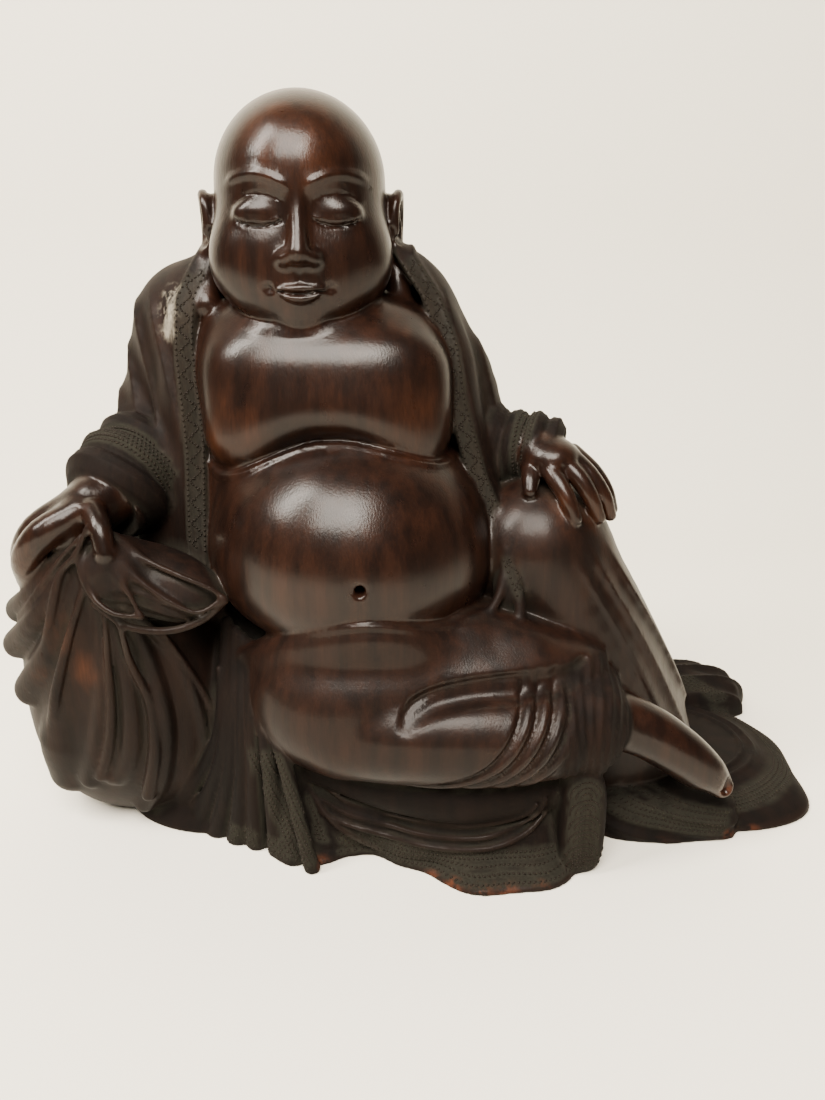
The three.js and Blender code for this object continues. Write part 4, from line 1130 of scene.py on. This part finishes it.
def stained_hardwood():
    """Close-grained hardwood, stained nearly black, waxed and rubbed: dark red-brown on the skin,
    almost black with grey dust in the hollows of the cloth, lighter on raised edges as rubbed wear and a painted
    highlight, orange where the stain has gone."""
    material = bpy.data.materials.new("stained_hardwood")
    material.use_nodes = True
    tree = material.node_tree
    tree.nodes.clear()
    place = add(tree, "ShaderNodeTexCoord").outputs["Object"]

    def attribute(name):
        return add(tree, "ShaderNodeAttribute", attribute_name=name).outputs["Fac"]

    def math(operation, a, b=0.0, limit=False):
        return add(tree, "ShaderNodeMath", {0: a, 1: b}, operation=operation, use_clamp=limit).outputs[0]

    def mix(share, a, b):
        node = add(tree, "ShaderNodeMix", {0: share, 6: a, 7: b}, data_type="RGBA")
        return node.outputs[2]

    def noise(millimetres, stretch, detail=3.0):
        turned = add(tree, "ShaderNodeMapping", {"Vector": place, "Scale": (1, 1, stretch)}).outputs[0]
        return add(tree, "ShaderNodeTexNoise", {
            "Vector": turned, "Scale": 1000 / millimetres, "Detail": detail, "Roughness": 0.6,
        }).outputs["Fac"]

    def spread(value, low, high):
        return add(tree, "ShaderNodeMapRange", {0: value, 1: low, 2: high}, clamp=True).outputs[0]

    streak = spread(noise(7, 0.09), 0.38, 0.66)
    cloudy = spread(noise(28, 0.6), 0.35, 0.65)
    pores = spread(noise(0.7, 0.06, 2.0), 0.3, 0.62)
    flesh = attribute("flesh")
    polish = attribute("polish")
    hollow = attribute("hollow")
    worn = attribute("worn")
    skin_tone = mix(streak, colour("#130a07"), colour("#24140d"))
    cloth_tone = mix(streak, colour("#080605"), colour("#120b08"))
    tone = mix(flesh, cloth_tone, skin_tone)
    tone = mix(math("MULTIPLY", cloudy, 0.45), tone, colour("#0e0806"))
    rubbed = math("MULTIPLY", worn, spread(noise(11, 0.4), 0.36, 0.7))
    tone = mix(math("MULTIPLY", rubbed, 0.55), tone, colour("#4a2917"))
    # Raised edges turn lighter towards #241812: partly rubbed wear, partly a painted highlight on the ridges
    ridge = math("MULTIPLY", spread(attribute("edge"), 0.3, 0.9), 0.35)
    tone = mix(ridge, tone, colour("#241812"))
    dull = math("SUBTRACT", 1.0, polish)
    dust = math("MULTIPLY", math("MAXIMUM", spread(hollow, 0.25, 0.85), attribute("border")), dull)
    tone = mix(math("MULTIPLY", dust, 0.6), tone, colour("#2b2b25"))
    bare = math("MULTIPLY", attribute("bare"), spread(noise(5, 1.0), 0.42, 0.56))
    tone = mix(math("MULTIPLY", bare, 0.85), tone, colour("#4d2b1c"))
    chalk = math("MULTIPLY", attribute("chalky"), spread(noise(4, 0.5), 0.44, 0.6))
    tone = mix(math("MULTIPLY", chalk, 0.8), tone, colour("#8f897c"))
    tone = mix(math("MULTIPLY", math("SUBTRACT", 1.0, pores), 0.35), tone, colour("#0a0605"))
    rough = math("ADD", spread(noise(9, 0.7), 0.0, 1.0), 0.0)
    base_rough = mix(polish, (0.8, 0.8, 0.8, 1), (0.3, 0.3, 0.3, 1))
    gloss = math("ADD", base_rough, math("MULTIPLY", math("SUBTRACT", rough, 0.5), 0.16))
    gloss = math("ADD", gloss, math("MULTIPLY", math("MAXIMUM", dust, bare), 0.25), True)
    height = math("ADD", math("MULTIPLY", pores, 0.5), math("MULTIPLY", noise(2.2, 0.5), 0.5))
    waxed = spread(polish, 0.3, 1.0)
    raised = add(tree, "ShaderNodeBump", {"Strength": 0.16, "Distance": 0.0003, "Height": height})
    shader = add(tree, "ShaderNodeBsdfPrincipled", {
        "Base Color": tone, "Roughness": gloss, "IOR": 1.45, "Normal": raised.outputs[0],
        "Specular IOR Level": 0.1, "Coat Weight": math("MULTIPLY", waxed, 0.3), "Coat Roughness": 0.2,
        "Coat IOR": 1.45, "Coat Normal": raised.outputs[0],
    })
    add(tree, "ShaderNodeOutputMaterial", {"Surface": shader.outputs[0]})
    return material


def plain(name, text, roughness):
    """A plain matt surface for the studio."""
    material = bpy.data.materials.new(name)
    material.use_nodes = True
    shader = material.node_tree.nodes["Principled BSDF"]
    shader.inputs["Base Color"].default_value = colour(text)
    shader.inputs["Roughness"].default_value = roughness
    return material


def studio():
    """A pale sweep, a long soft light from the upper left, a smaller one in front, and the camera."""
    profile = [(-3.0, 0.0), (0.30, 0.0)]
    profile += [(0.30 + 0.25 * sin(a), 0.25 - 0.25 * cos(a)) for a in np.linspace(0.1, pi / 2, 12)]
    profile += [(0.55, 2.6)]
    vertices = [(x, y, z) for y, z in profile for x in (-3, 3)]
    faces = [(2 * i, 2 * i + 1, 2 * i + 3, 2 * i + 2) for i in range(len(profile) - 1)]
    mesh = bpy.data.meshes.new("sweep")
    mesh.from_pydata(vertices, [], faces)
    mesh.shade_smooth()
    mesh.materials.append(plain("matt_paper", "#e9e5d8", 0.9))
    sweep = bpy.data.objects.new("sweep", mesh)
    bpy.context.scene.collection.objects.link(sweep)

    def soft_light(name, toward, distance, size, watts):
        lamp = bpy.data.lights.new(name, "AREA")
        lamp.shape = "RECTANGLE"
        lamp.size, lamp.size_y = size
        lamp.energy = watts
        lamp.color = colour("#fff5e8")[:3]
        item = bpy.data.objects.new(name, lamp)
        direction = Vector(toward).normalized()
        item.location = Vector((-0.02, -0.03, 0.14)) + direction * distance
        item.rotation_euler = direction.to_track_quat("Z", "Y").to_euler()
        bpy.context.scene.collection.objects.link(item)

    soft_light("window", (-0.61, -0.26, 0.75), 1.5, (0.3, 0.8), 42)
    soft_light("ceiling", (-0.1, -0.6, 0.8), 1.6, (1.1, 0.9), 95)
    soft_light("lamp", (0.10, -0.63, 0.77), 1.5, (0.2, 0.2), 3)
    world = bpy.data.worlds.new("room")
    world.use_nodes = True
    world.node_tree.nodes["Background"].inputs["Color"].default_value = colour("#efebe2")
    world.node_tree.nodes["Background"].inputs["Strength"].default_value = 0.1
    bpy.context.scene.world = world
    camera = bpy.data.cameras.new("camera")
    camera.sensor_width = 36
    camera.lens = 36 * 923 / 1100
    camera.clip_start = 0.01
    eye = bpy.data.objects.new("camera", camera)
    eye.location = (-BASE_MIDDLE[0] / 1000, (-390 - BASE_MIDDLE[1]) / 1000, 0.26)
    eye.rotation_euler = (radians(90 - 20.77), 0, 0)
    bpy.context.scene.collection.objects.link(eye)
    bpy.context.scene.camera = eye


wood = stained_hardwood()
sage, marks = carving()
sage.data.materials.clear()
sage.data.materials.append(wood)
borders = carved_borders(marks, wood)
for piece in (sage, borders):
    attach(piece, "root")
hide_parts("carving")
studio()
